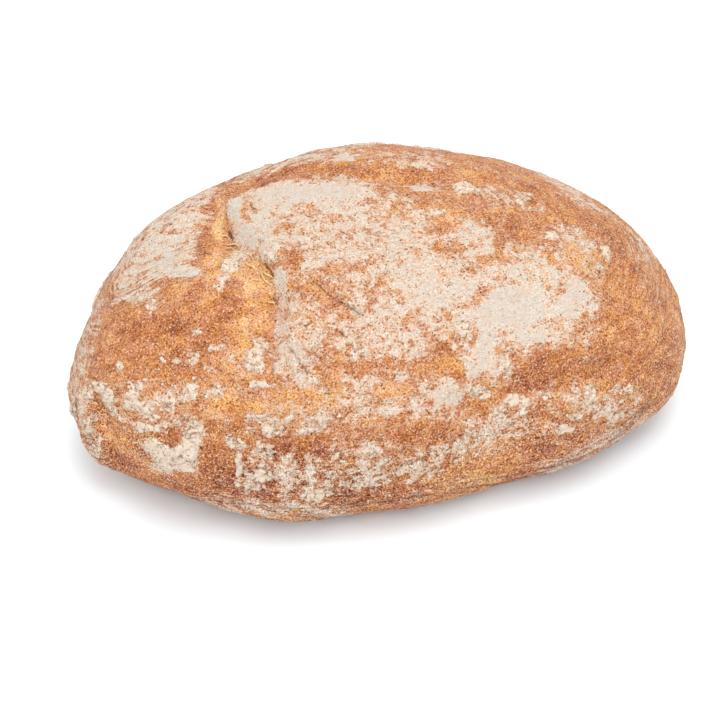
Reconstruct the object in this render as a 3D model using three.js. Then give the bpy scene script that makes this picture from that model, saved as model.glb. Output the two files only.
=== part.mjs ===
// A risen hearth loaf: one closed body of dough with a flat underside. Millimetres, +Z up.
// The loaf's length runs along X. The origin lies under the middle of its box, on the table.
//
// Every place on the crust is named by two angles in degrees, as on a globe: its bearing runs round the
// crown from +X towards +Y, and its fall runs from the crown (0) over the belly (90) to the base (180).

import * as THREE from 'three';
import { mergeVertices } from 'three/addons/utils/BufferGeometryUtils.js';

// ---- the loaf's overall form ----

// How far the belly reaches from under the crown, every 22.5 degrees of bearing.
const BELLY_REACHES = [121, 116, 108, 103.5, 102.5, 101.5, 108.5, 111.5, 118, 98, 84, 73, 71, 74.5, 95, 117.5];
const CROWN_HEIGHT = 88.5;
const BELLY_HEIGHT = 28;
const CROWN_FULLNESS = 2.5; // 2 draws an ellipse seen from the side, more draws a squarer shoulder
const ROOF_FULLNESS = 2.1;
const CROWN_LEAN = 4.5; // the crown leans back, towards +Y
const ROOF_SLOPE = 0.016; // the roof rises towards the back, in mm for each mm
const BASE_SHARE = 0.74; // the flat base's width as a share of the belly's
const BASE_FALL = 150; // the fall at which the flat base begins
const BASE_CLEARANCE = 7; // the crust's relief dies out below this height, so the base stays flat

// ---- the crust's relief ----

const LEFT = 1; // a fold's raised side, for one who walks along its route on the crust
const RIGHT = -1;

// The dough burst along the flap's edge: behind the roof from the right, round the corner, down the left.
const FLAP_EDGE = {
  route: [
    [19, 16], [47, 15], [66, 14], [88, 15], [105, 25], [123, 32], [142, 32], [159, 24], [177, 18],
    [193, 20], [210, 29], [216, 39], [221, 53],
  ],
  depth: 3.8,
  width: 6,
  lip: 2.6,
  reach: 24,
  raised: LEFT,
};

// A short slash in the flap, with one lip standing up.
const SLASH = {
  route: [[212, 18], [222, 21], [231, 25], [240, 28], [252, 33]],
  depth: 1.6,
  width: 3.6,
  lip: 1.8,
  reach: 12,
  raised: LEFT,
};

// A soft fold along the front, with the dough bulging below it.
const BELT = {
  route: [[269, 64], [286, 65], [298, 65], [312, 66], [325, 73]],
  depth: 2.0,
  width: 6.5,
  lip: 1.4,
  reach: 12,
  raised: RIGHT,
};

// The seam that parts the lumpy nose at the left end from the smooth front.
const NOSE_SEAM = {
  route: [[184, 70], [187, 77], [189, 87], [190, 98], [192, 112]],
  depth: 2.6,
  width: 4.5,
  lip: 1.2,
  reach: 10,
  raised: RIGHT,
};

const FOLDS = [FLAP_EDGE, SLASH, BELT, NOSE_SEAM];

// Round swellings, or hollows where the height is negative.
const SWELLINGS = [
  { name: 'upper nose lump', at: [183, 78], radius: 9, height: 2.6 },
  { name: 'middle nose lump', at: [184, 90], radius: 8, height: 2.0 },
  { name: 'lower nose lump', at: [185, 104], radius: 8, height: 2.2 },
  { name: 'front left lump', at: [204, 84], radius: 13, height: 1.6 },
  { name: 'flap crown', at: [150, 10], radius: 26, height: 1.6 },
  { name: 'torn floor beside the flap', at: [152, 33], radius: 11, height: -1.8 },
  { name: 'torn floor below the flap', at: [205, 32], radius: 11, height: -1.6 },
  { name: 'front hollow', at: [280, 50], radius: 11, height: -1.6 },
  { name: 'right front bulge', at: [312, 80], radius: 16, height: 1.5 },
  { name: 'back shoulder hollow', at: [60, 52], radius: 24, height: -2.2 },
];

// Uneven rising: waves that cross the loaf in many directions, from long and high to short and low.
const WAVE_COUNT = 14;
const LONGEST_WAVE = 84;
const SHORTEST_WAVE = 24;
const WAVE_HEIGHT_SHARE = 0.0042; // a wave's height as a share of its length
const GOLDEN_ANGLE = Math.PI * (3 - Math.sqrt(5));
const WAVE_PITCH = 1.3; // radians between one wave's tilt and the next
const WAVE_TILT = 0.8;
const WAVE_PHASE = 1.9;

// ---- the mesh and its look ----

const GLOBE_DETAIL = 21; // 20 * (detail + 1) squared triangles
const GLOBE_BELLY = 115; // the globe's polar angle that is drawn to the belly, so the crown gets most triangles
const GLOBE_BASE = 164; // and the one that is drawn to the base's edge
const CRUST_COLOUR = '#cf9467';
const CRUST_ROUGHNESS = 0.85;

const QUARTER_TURN = Math.PI / 2;
const FULL_TURN = Math.PI * 2;

/** Runs from 0 to 1 without a kink as value goes from low to high. */
function ease(value, low, high) {
  return THREE.MathUtils.smoothstep(value, low, high);
}

/** The belly's reach at a bearing in radians: a closed smooth curve through BELLY_REACHES. */
function bellyReach(bearing) {
  const count = BELLY_REACHES.length;
  const place = (((bearing / FULL_TURN) % 1) + 1) * count;
  const step = Math.floor(place);
  const t = place - step;
  const [before, here, next, after] = [-1, 0, 1, 2].map((k) => BELLY_REACHES[(step + k) % count]);
  const slopeHere = (next - before) / 2;
  const slopeNext = (after - here) / 2;
  const rise = next - here;
  return here + t * (slopeHere + t * (3 * rise - 2 * slopeHere - slopeNext + t * (slopeHere + slopeNext - 2 * rise)));
}

/** The smooth loaf's surface at a bearing and a fall in radians, measured from under the crown. */
function smoothCrust(bearing, fall) {
  const baseFall = THREE.MathUtils.degToRad(BASE_FALL);
  let share;
  let height;
  let crown = 0;
  if (fall <= QUARTER_TURN) {
    share = Math.sin(fall) ** (2 / CROWN_FULLNESS);
    crown = Math.max(Math.cos(fall), 0) ** (2 / ROOF_FULLNESS);
    height = BELLY_HEIGHT + (CROWN_HEIGHT - BELLY_HEIGHT) * crown;
  } else if (fall < baseFall) {
    const turn = ((fall - QUARTER_TURN) / (baseFall - QUARTER_TURN)) * QUARTER_TURN;
    share = BASE_SHARE + (1 - BASE_SHARE) * Math.cos(turn);
    height = BELLY_HEIGHT * (1 - Math.sin(turn));
  } else {
    share = (BASE_SHARE * Math.tan(Math.PI - fall)) / Math.tan(Math.PI - baseFall);
    height = 0;
  }
  const reach = share * bellyReach(bearing);
  const y = reach * Math.sin(bearing);
  return new THREE.Vector3(
    reach * Math.cos(bearing),
    y + CROWN_LEAN * crown * crown,
    height + ROOF_SLOPE * y * crown,
  );
}

/** The point on the smooth crust of a place given as [bearing, fall] in degrees. */
function crustPoint([bearing, fall]) {
  return smoothCrust(THREE.MathUtils.degToRad(bearing), THREE.MathUtils.degToRad(fall));
}

/** The point on the smooth crust that a direction on the globe is drawn to. */
function drawnPoint(direction) {
  const polar = THREE.MathUtils.radToDeg(Math.acos(THREE.MathUtils.clamp(direction.z, -1, 1)));
  const { mapLinear } = THREE.MathUtils;
  let fall = mapLinear(polar, 0, GLOBE_BELLY, 0, 90);
  if (polar > GLOBE_BASE) {
    fall = mapLinear(polar, GLOBE_BASE, 180, BASE_FALL, 180);
  } else if (polar > GLOBE_BELLY) {
    fall = mapLinear(polar, GLOBE_BELLY, GLOBE_BASE, 90, BASE_FALL);
  }
  return crustPoint([THREE.MathUtils.radToDeg(Math.atan2(direction.y, direction.x)), fall]);
}

/** Which way is out of the crust at a point: the normal of an ellipsoid about as large as the loaf. */
function outward(point) {
  const meanReach = (BELLY_REACHES[0] + BELLY_REACHES[8]) / 2;
  const meanHalfWidth = (BELLY_REACHES[4] + BELLY_REACHES[12]) / 2;
  const above = point.z - BELLY_HEIGHT;
  const depth = above > 0 ? CROWN_HEIGHT - BELLY_HEIGHT : BELLY_HEIGHT;
  return new THREE.Vector3(point.x / meanReach ** 2, point.y / meanHalfWidth ** 2, above / depth ** 2).normalize();
}

/** A fold's route as straight stretches between points on the smooth crust. */
function laidRoute(route) {
  const points = route.map(crustPoint);
  let walked = 0;
  return points.slice(1).map((end, i) => {
    const stretch = { start: points[i], along: end.clone().sub(points[i]), walked };
    walked += stretch.along.length();
    return stretch;
  });
}

/** How far a fold lowers or raises the crust at a point: a rounded groove with a lip along one side. */
function foldHeight(fold, stretches, point, out) {
  let nearest = { distance: Infinity, side: 0, walked: 0 };
  for (const { start, along, walked } of stretches) {
    const offset = point.clone().sub(start);
    const t = THREE.MathUtils.clamp(offset.dot(along) / along.lengthSq(), 0, 1);
    const gap = offset.clone().addScaledVector(along, -t);
    if (gap.length() < nearest.distance) {
      const side = Math.sign(along.clone().cross(offset).dot(out)) || 1;
      nearest = { distance: gap.length(), side, walked: walked + t * along.length() };
    }
  }
  const last = stretches[stretches.length - 1];
  const length = last.walked + last.along.length();
  const fade = ease(Math.min(nearest.walked, length - nearest.walked), 0, fold.width * 2.5);
  const groove = -fold.depth * Math.exp(-((nearest.distance / fold.width) ** 2));
  const onLip = nearest.side === fold.raised;
  const crest = 1 - Math.exp(-((nearest.distance / fold.width) ** 2));
  const lip = onLip ? fold.lip * crest * Math.exp(-((nearest.distance / fold.reach) ** 2)) : 0;
  return fade * (groove + lip);
}

/** How far the uneven rising lifts or sinks the crust at a point. */
function waveHeight(point) {
  let height = 0;
  for (let i = 0; i < WAVE_COUNT; i += 1) {
    const length = LONGEST_WAVE * (SHORTEST_WAVE / LONGEST_WAVE) ** (i / (WAVE_COUNT - 1));
    const heading = i * GOLDEN_ANGLE;
    const tilt = WAVE_TILT * Math.sin(i * WAVE_PITCH);
    const travel = point.x * Math.cos(heading) + point.y * Math.sin(heading) + point.z * tilt;
    height += WAVE_HEIGHT_SHARE * length * Math.sin((FULL_TURN * travel) / length + i * WAVE_PHASE);
  }
  return height;
}

/** The loaf's closed body: a fine globe drawn out to the loaf's form, with the relief pushed in or out. */
function loafGeometry() {
  const globe = new THREE.IcosahedronGeometry(1, GLOBE_DETAIL);
  globe.deleteAttribute('normal');
  globe.deleteAttribute('uv');
  const body = mergeVertices(globe);
  const places = body.getAttribute('position');
  const folds = FOLDS.map((fold) => ({ fold, stretches: laidRoute(fold.route) }));
  const swellings = SWELLINGS.map((swelling) => ({ ...swelling, centre: crustPoint(swelling.at) }));
  for (let i = 0; i < places.count; i += 1) {
    const point = drawnPoint(new THREE.Vector3().fromBufferAttribute(places, i).normalize());
    const out = outward(point);
    let rise = waveHeight(point);
    for (const { fold, stretches } of folds) {
      rise += foldHeight(fold, stretches, point, out);
    }
    for (const { centre, radius, height } of swellings) {
      rise += height * Math.exp(-((point.distanceTo(centre) / radius) ** 2));
    }
    point.addScaledVector(out, rise * ease(point.z, 0, BASE_CLEARANCE));
    places.setXYZ(i, point.x, point.y, point.z);
  }
  body.computeBoundingBox();
  const middle = body.boundingBox.getCenter(new THREE.Vector3());
  body.translate(-middle.x, -middle.y, -body.boundingBox.min.z);
  body.computeVertexNormals();
  return body;
}

const crust = new THREE.MeshStandardMaterial({ color: CRUST_COLOUR, roughness: CRUST_ROUGHNESS, metalness: 0 });
const loaf = new THREE.Mesh(loafGeometry(), crust);
loaf.name = 'loaf';

const part = new THREE.Group();
part.add(loaf);

export default part;
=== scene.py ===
"""A flour-dusted hearth loaf: its crust, torn flap, caked and thin flour, crumbs and strands.

Lengths are in millimetres until a mesh is made. A place on the crust is named by two angles in degrees, as on a
globe: its bearing runs round the crown from +X towards +Y, and its fall runs from the crown (0) over the belly
(90) to the base (180). What only the photograph shows is placed by its pixel there, in a frame of 720 by 720.
"""

import logging
import math
from dataclasses import dataclass, field
from enum import Enum

import bpy
import numpy as np
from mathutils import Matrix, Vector, noise
from mathutils.bvhtree import BVHTree


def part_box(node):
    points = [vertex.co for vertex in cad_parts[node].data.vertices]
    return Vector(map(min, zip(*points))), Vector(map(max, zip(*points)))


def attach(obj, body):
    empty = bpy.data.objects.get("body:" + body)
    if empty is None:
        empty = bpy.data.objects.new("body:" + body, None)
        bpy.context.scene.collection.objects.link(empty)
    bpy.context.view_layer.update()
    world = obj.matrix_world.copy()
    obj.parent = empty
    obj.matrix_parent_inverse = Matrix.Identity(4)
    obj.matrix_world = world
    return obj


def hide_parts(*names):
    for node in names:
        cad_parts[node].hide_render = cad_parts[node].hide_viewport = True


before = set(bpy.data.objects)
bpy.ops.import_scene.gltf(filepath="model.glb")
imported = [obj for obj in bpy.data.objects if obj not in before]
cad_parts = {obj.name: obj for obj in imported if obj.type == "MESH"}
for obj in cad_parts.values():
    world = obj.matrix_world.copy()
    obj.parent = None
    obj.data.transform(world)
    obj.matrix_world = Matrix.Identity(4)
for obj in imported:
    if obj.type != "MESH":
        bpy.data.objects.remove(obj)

MM = 0.001
PHOTO_SIDE = 720
GOLDEN_ANGLE = math.pi * (3 - math.sqrt(5))
STARCH_IOR = 1.45
LOAF_NODE = "loaf"
BODY = "root"

log = logging.getLogger("loaf")


def ease(value: np.ndarray, low: float, high: float) -> np.ndarray:
    """Runs smoothly from 0 to 1 as value goes from low to high."""
    t = np.clip((value - low) / (high - low), 0.0, 1.0)
    return t * t * (3.0 - 2.0 * t)


def rough(points: np.ndarray, size: float, octaves: int = 1, seed: int = 0) -> np.ndarray:
    """Roughness between about -1 and 1 at each point.

    Args:
        points: places, one row each.
        size: width of the largest lumps, in the points' units.
        octaves: how many ever finer layers are added up.
        seed: picks one of many alike fields.

    Returns:
        One value for each point.
    """
    moved = points / size + np.array([17.3, 7.7, 3.1]) * seed
    return np.array([noise.fractal(place, 1.0, 2.0, octaves) for place in moved.tolist()])


def linear(colour: str) -> tuple[float, float, float, float]:
    """Turns an sRGB hex colour into a linear one with full alpha."""
    parts = [int(colour[i:i + 2], 16) / 255 for i in (1, 3, 5)]
    lit = [part / 12.92 if part <= 0.04045 else ((part + 0.055) / 1.055) ** 2.4 for part in parts]
    return (*lit, 1.0)


def add_node(tree: bpy.types.NodeTree, kind: str, inputs: dict | None = None, **settings) -> bpy.types.Node:
    """Adds a node to a tree.

    Args:
        tree: the tree that takes the node.
        kind: the node's Blender type.
        inputs: for an input's name or number, the value it holds, or the socket or node that feeds it.
        settings: the node's own properties.

    Returns:
        The new node.
    """
    node = tree.nodes.new(kind)
    for name, value in settings.items():
        setattr(node, name, value)
    for key, value in (inputs or {}).items():
        if isinstance(value, bpy.types.Node):
            value = next(socket for socket in value.outputs if socket.enabled)
        if isinstance(value, bpy.types.NodeSocket):
            tree.links.new(value, node.inputs[key])
        else:
            node.inputs[key].default_value = value
    return node


# ---- the loaf's form, as in the solid ----


@dataclass(frozen=True)
class LoafForm:
    """The smooth loaf, measured from under its crown."""

    belly_reaches: tuple[float, ...] = (
        121, 116, 108, 103.5, 102.5, 101.5, 108.5, 111.5, 118, 98, 84, 73, 71, 74.5, 95, 117.5)
    crown_height: float = 88.5
    belly_height: float = 28.0
    crown_fullness: float = 2.5
    roof_fullness: float = 2.1
    crown_lean: float = 4.5
    roof_slope: float = 0.016
    base_share: float = 0.74
    base_fall: float = 150.0
    grain_reach: float = 14.0
    shoulder_bearing: float = 172.0
    shoulder_fall: float = 36.0
    shoulder_reach: float = 46.0
    shoulder_stretch: float = 6.0

    def belly_reach(self, bearing: np.ndarray) -> np.ndarray:
        """How far the belly reaches at each bearing in radians."""
        reaches = np.array(self.belly_reaches)
        count = len(reaches)
        place = (bearing / (2 * math.pi) % 1.0) * count
        step = np.floor(place).astype(int)
        t = place - step
        before, here, after, beyond = (reaches[(step + k) % count] for k in (-1, 0, 1, 2))
        slope_here = (after - before) / 2
        slope_after = (beyond - here) / 2
        rise = after - here
        bend = 3 * rise - 2 * slope_here - slope_after + t * (slope_here + slope_after - 2 * rise)
        return here + t * (slope_here + t * bend)

    def points(self, bearing: np.ndarray, fall: np.ndarray) -> np.ndarray:
        """The smooth crust's points.

        Args:
            bearing: in degrees.
            fall: in degrees.

        Returns:
            One row of x, y and z for each place.
        """
        bearing, fall = np.radians(bearing), np.radians(fall)
        base_fall = math.radians(self.base_fall)
        quarter = math.pi / 2
        upper = np.clip(fall, 0, quarter)
        turn = np.clip((fall - quarter) / (base_fall - quarter), 0, 1) * quarter
        flat = self.base_share * np.tan(math.pi - np.maximum(fall, base_fall)) / math.tan(math.pi - base_fall)
        above, under = fall <= quarter, fall < base_fall
        share = np.where(above, np.sin(upper) ** (2 / self.crown_fullness),
                         np.where(under, self.base_share + (1 - self.base_share) * np.cos(turn), flat))
        crown = np.where(above, np.clip(np.cos(upper), 0, 1) ** (2 / self.roof_fullness), 0.0)
        height = np.where(above, self.belly_height + (self.crown_height - self.belly_height) * crown,
                          self.belly_height * (1 - np.sin(turn)))
        reach = share * self.belly_reach(bearing)
        y = reach * np.sin(bearing)
        return np.stack([reach * np.cos(bearing), y + self.crown_lean * crown ** 2,
                         height + self.roof_slope * y * crown], axis=1)

    def walk(self, falls: np.ndarray) -> np.ndarray:
        """How far it is down the crust to each of some rising falls."""
        profile = self.points(np.full_like(falls, 45.0), falls)
        return np.concatenate([[0], np.cumsum(np.linalg.norm(np.diff(profile, axis=0), axis=1))])

    def grain(self, bearing: np.ndarray, fall: np.ndarray) -> np.ndarray:
        """Where each place lies in the skin's grain.

        The grain runs round the crown as the dough was rolled, and along the loaf on the shoulder beside the tear.

        Args:
            bearing: in degrees.
            fall: in degrees.

        Returns:
            Points in mm that lie close together along the grain and as far apart as on the loaf across it.
        """
        falls = np.linspace(0, 180, 721)
        walked = self.walk(falls)
        down = np.interp(fall, falls, walked)
        turn = self.grain_reach * ease(np.minimum(down, 400 - down), 0, 45)
        points = self.points(bearing, fall)
        shoulder = self.points(np.array([self.shoulder_bearing]), np.array([self.shoulder_fall]))[0]
        offset = points - shoulder
        pulled = np.exp(-(np.linalg.norm(offset, axis=1) / self.shoulder_reach) ** 2)
        down += pulled * (np.interp(self.shoulder_fall, falls, walked) - 1.2 * offset[:, 1] - down)
        bearing = np.radians(bearing)
        along = turn * np.cos(bearing) + pulled * points[:, 0] / self.shoulder_stretch
        return np.stack([along, turn * np.sin(bearing), down], axis=1)

    def outward(self, points: np.ndarray) -> np.ndarray:
        """Unit vectors out of the crust, as on an ellipsoid about as large as the loaf."""
        half_length = (self.belly_reaches[0] + self.belly_reaches[8]) / 2
        half_width = (self.belly_reaches[4] + self.belly_reaches[12]) / 2
        above = points[:, 2] - self.belly_height
        depth = np.where(above > 0, self.crown_height - self.belly_height, self.belly_height)
        out = np.stack([points[:, 0] / half_length ** 2, points[:, 1] / half_width ** 2, above / depth ** 2], axis=1)
        return out / np.linalg.norm(out, axis=1, keepdims=True)


class Side(Enum):
    """The side of a fold that stands up, for one who walks along its route on the crust."""

    LEFT = 1
    RIGHT = -1


@dataclass(frozen=True)
class Fold:
    """A rounded groove in the crust with a lip along one side."""

    route: tuple[tuple[float, float], ...]
    depth: float
    width: float
    lip: float
    reach: float
    raised: Side
    cliff: float = 0.0

    def heights(self, form: LoafForm, points: np.ndarray, out: np.ndarray) -> np.ndarray:
        """How far the fold lowers or raises the crust at each point."""
        stops = form.points(*np.array(self.route, float).T)
        distance = np.full(len(points), np.inf)
        side, place = np.zeros(len(points)), np.zeros(len(points))
        walked = 0.0
        for start, end in zip(stops, stops[1:], strict=False):
            along, length = end - start, np.linalg.norm(end - start)
            offset = points - start
            t = np.clip(offset @ along / length ** 2, 0, 1)
            gap = np.linalg.norm(offset - t[:, None] * along, axis=1)
            near = gap < distance
            turned = np.einsum("ij,ij->i", np.cross(along, offset), out)
            distance = np.where(near, gap, distance)
            side = np.where(near, np.sign(turned), side)
            place = np.where(near, walked + t * length, place)
            walked += length
        fade = ease(np.minimum(place, walked - place), 0, self.width * 2.5)
        groove = -self.depth * np.exp(-(distance / self.width) ** 2)
        raised = side == self.raised.value
        onset = 1 - np.exp(-(distance / self.width) ** 2)
        sharp = 1 - np.exp(-(distance / 1.2) ** 2)
        tall = (self.lip * onset + self.cliff * sharp) * np.exp(-(distance / self.reach) ** 2)
        return fade * (groove + np.where(raised, tall, 0.0))


@dataclass(frozen=True)
class Swelling:
    """A round swelling of the crust, or a hollow where its height is negative."""

    bearing: float
    fall: float
    radius: float
    height: float

    def heights(self, form: LoafForm, points: np.ndarray) -> np.ndarray:
        """How far it raises the crust at each point."""
        centre = form.points(np.array([self.bearing]), np.array([self.fall]))[0]
        return self.height * np.exp(-(np.linalg.norm(points - centre, axis=1) / self.radius) ** 2)


FOLDS = {
    "flap edge": Fold(
        ((19, 16), (47, 15), (66, 14), (88, 15), (105, 25), (123, 32), (142, 32), (159, 24), (177, 18),
         (193, 20), (210, 29), (216, 39), (221, 53)), 3.8, 6.0, 2.6, 24, Side.LEFT, cliff=0.8),
    "slash": Fold(((212, 18), (222, 21), (231, 25), (240, 28), (252, 33)), 0.9, 3.6, 0.6, 12, Side.LEFT, cliff=1.6),
    "belt": Fold(((269, 64), (286, 65), (298, 65), (312, 66), (325, 73)), 2.0, 6.5, 1.4, 12, Side.RIGHT),
    "nose seam": Fold(((184, 70), (187, 77), (189, 87), (190, 98), (192, 112)), 2.6, 4.5, 1.2, 10, Side.RIGHT),
}

SWELLINGS = {
    "upper nose lump": Swelling(183, 78, 9, 2.6),
    "middle nose lump": Swelling(184, 90, 8, 2.0),
    "lower nose lump": Swelling(185, 104, 8, 2.2),
    "front left lump": Swelling(204, 84, 13, 1.6),
    "flap crown": Swelling(150, 10, 26, 1.6),
    "torn floor beside the flap": Swelling(152, 33, 11, -1.8),
    "torn floor below the flap": Swelling(205, 32, 11, -1.6),
    "front hollow": Swelling(280, 50, 11, -1.6),
    "right front bulge": Swelling(312, 80, 16, 1.5),
    "back shoulder hollow": Swelling(60, 52, 24, -2.2),
}


@dataclass(frozen=True)
class UnevenRise:
    """Waves that cross the loaf in many directions, from long and high to short and low."""

    count: int = 14
    longest: float = 84.0
    shortest: float = 24.0
    height_share: float = 0.0042
    pitch: float = 1.3
    tilt: float = 0.8
    phase: float = 1.9

    def heights(self, points: np.ndarray) -> np.ndarray:
        """How far the waves raise the crust at each point."""
        total = np.zeros(len(points))
        for i in range(self.count):
            length = self.longest * (self.shortest / self.longest) ** (i / (self.count - 1))
            heading = i * GOLDEN_ANGLE
            course = np.array([math.cos(heading), math.sin(heading), self.tilt * math.sin(i * self.pitch)])
            total += self.height_share * length * np.sin(2 * math.pi * (points @ course) / length + i * self.phase)
        return total


# ---- the photograph's view ----


@dataclass(frozen=True)
class PhotoView:
    """Where the photograph was taken from, in mm and degrees."""

    target: tuple[float, float, float] = (-10.5, -25.4, 35.0)
    azimuth: float = -18.5
    elevation: float = 40.8
    distance: float = 750.0
    lens: float = 100.0
    sensor: float = 36.0

    def axes(self) -> tuple[np.ndarray, np.ndarray, np.ndarray]:
        """The picture's right and up, and the way back to the camera."""
        turn, lift = math.radians(self.azimuth), math.radians(self.elevation)
        back = np.array([math.sin(turn) * math.cos(lift), -math.cos(turn) * math.cos(lift), math.sin(lift)])
        right = np.array([math.cos(turn), math.sin(turn), 0.0])
        return right, np.cross(back, right), back

    def eye(self) -> np.ndarray:
        """The camera's place."""
        return np.array(self.target) + self.axes()[2] * self.distance

    def pixels(self, points: np.ndarray) -> np.ndarray:
        """The pixel that each point falls on."""
        right, up, back = self.axes()
        offset = points - self.eye()
        scale = self.lens / self.sensor * PHOTO_SIDE / -(offset @ back)
        return PHOTO_SIDE / 2 + np.stack([offset @ right * scale, -(offset @ up) * scale], axis=1)

    def facing(self, points: np.ndarray, normals: np.ndarray) -> np.ndarray:
        """How squarely the crust faces the camera at each point, from 1 down to -1."""
        sight = self.eye() - points
        return np.einsum("ij,ij->i", sight / np.linalg.norm(sight, axis=1, keepdims=True), normals)

    def ray(self, x: float, y: float) -> tuple[Vector, Vector]:
        """The sight line through a pixel, as its start in mm and its direction."""
        right, up, back = self.axes()
        spread = self.sensor / self.lens / PHOTO_SIDE
        course = (x - PHOTO_SIDE / 2) * spread * right - (y - PHOTO_SIDE / 2) * spread * up - back
        return Vector(self.eye()), Vector(course).normalized()

    def place_camera(self) -> None:
        """Makes the scene's camera."""
        camera = bpy.data.cameras.new("photo_camera")
        camera.lens, camera.sensor_width, camera.clip_end = self.lens, self.sensor, 20.0
        holder = bpy.data.objects.new("photo_camera", camera)
        holder.location = self.eye() * MM
        holder.rotation_euler = Vector(self.axes()[2]).to_track_quat("Z", "Y").to_euler()
        bpy.context.scene.collection.objects.link(holder)
        bpy.context.scene.camera = holder


# ---- what the photograph shows on the crust, by its pixels ----


@dataclass(frozen=True)
class Patch:
    """An elliptic patch of the crust: its middle, half length and half width in pixels, and its turn clockwise."""

    x: float
    y: float
    along: float
    across: float
    turn: float = 0.0
    strength: float = 1.0

    def cover(self, pixels: np.ndarray) -> np.ndarray:
        """How much of the patch lies at each pixel: its strength within, half of it at the edge."""
        angle = math.radians(self.turn)
        dx, dy = pixels[:, 0] - self.x, pixels[:, 1] - self.y
        u = (dx * math.cos(angle) + dy * math.sin(angle)) / self.along
        v = (dy * math.cos(angle) - dx * math.sin(angle)) / self.across
        return self.strength * ease(1.5 - np.hypot(u, v), 0.0, 1.0)


def covered(patches: dict[str, Patch], pixels: np.ndarray) -> np.ndarray:
    """The strongest cover of any of the patches at each pixel."""
    return np.max([patch.cover(pixels) for patch in patches.values()], axis=0)


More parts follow.
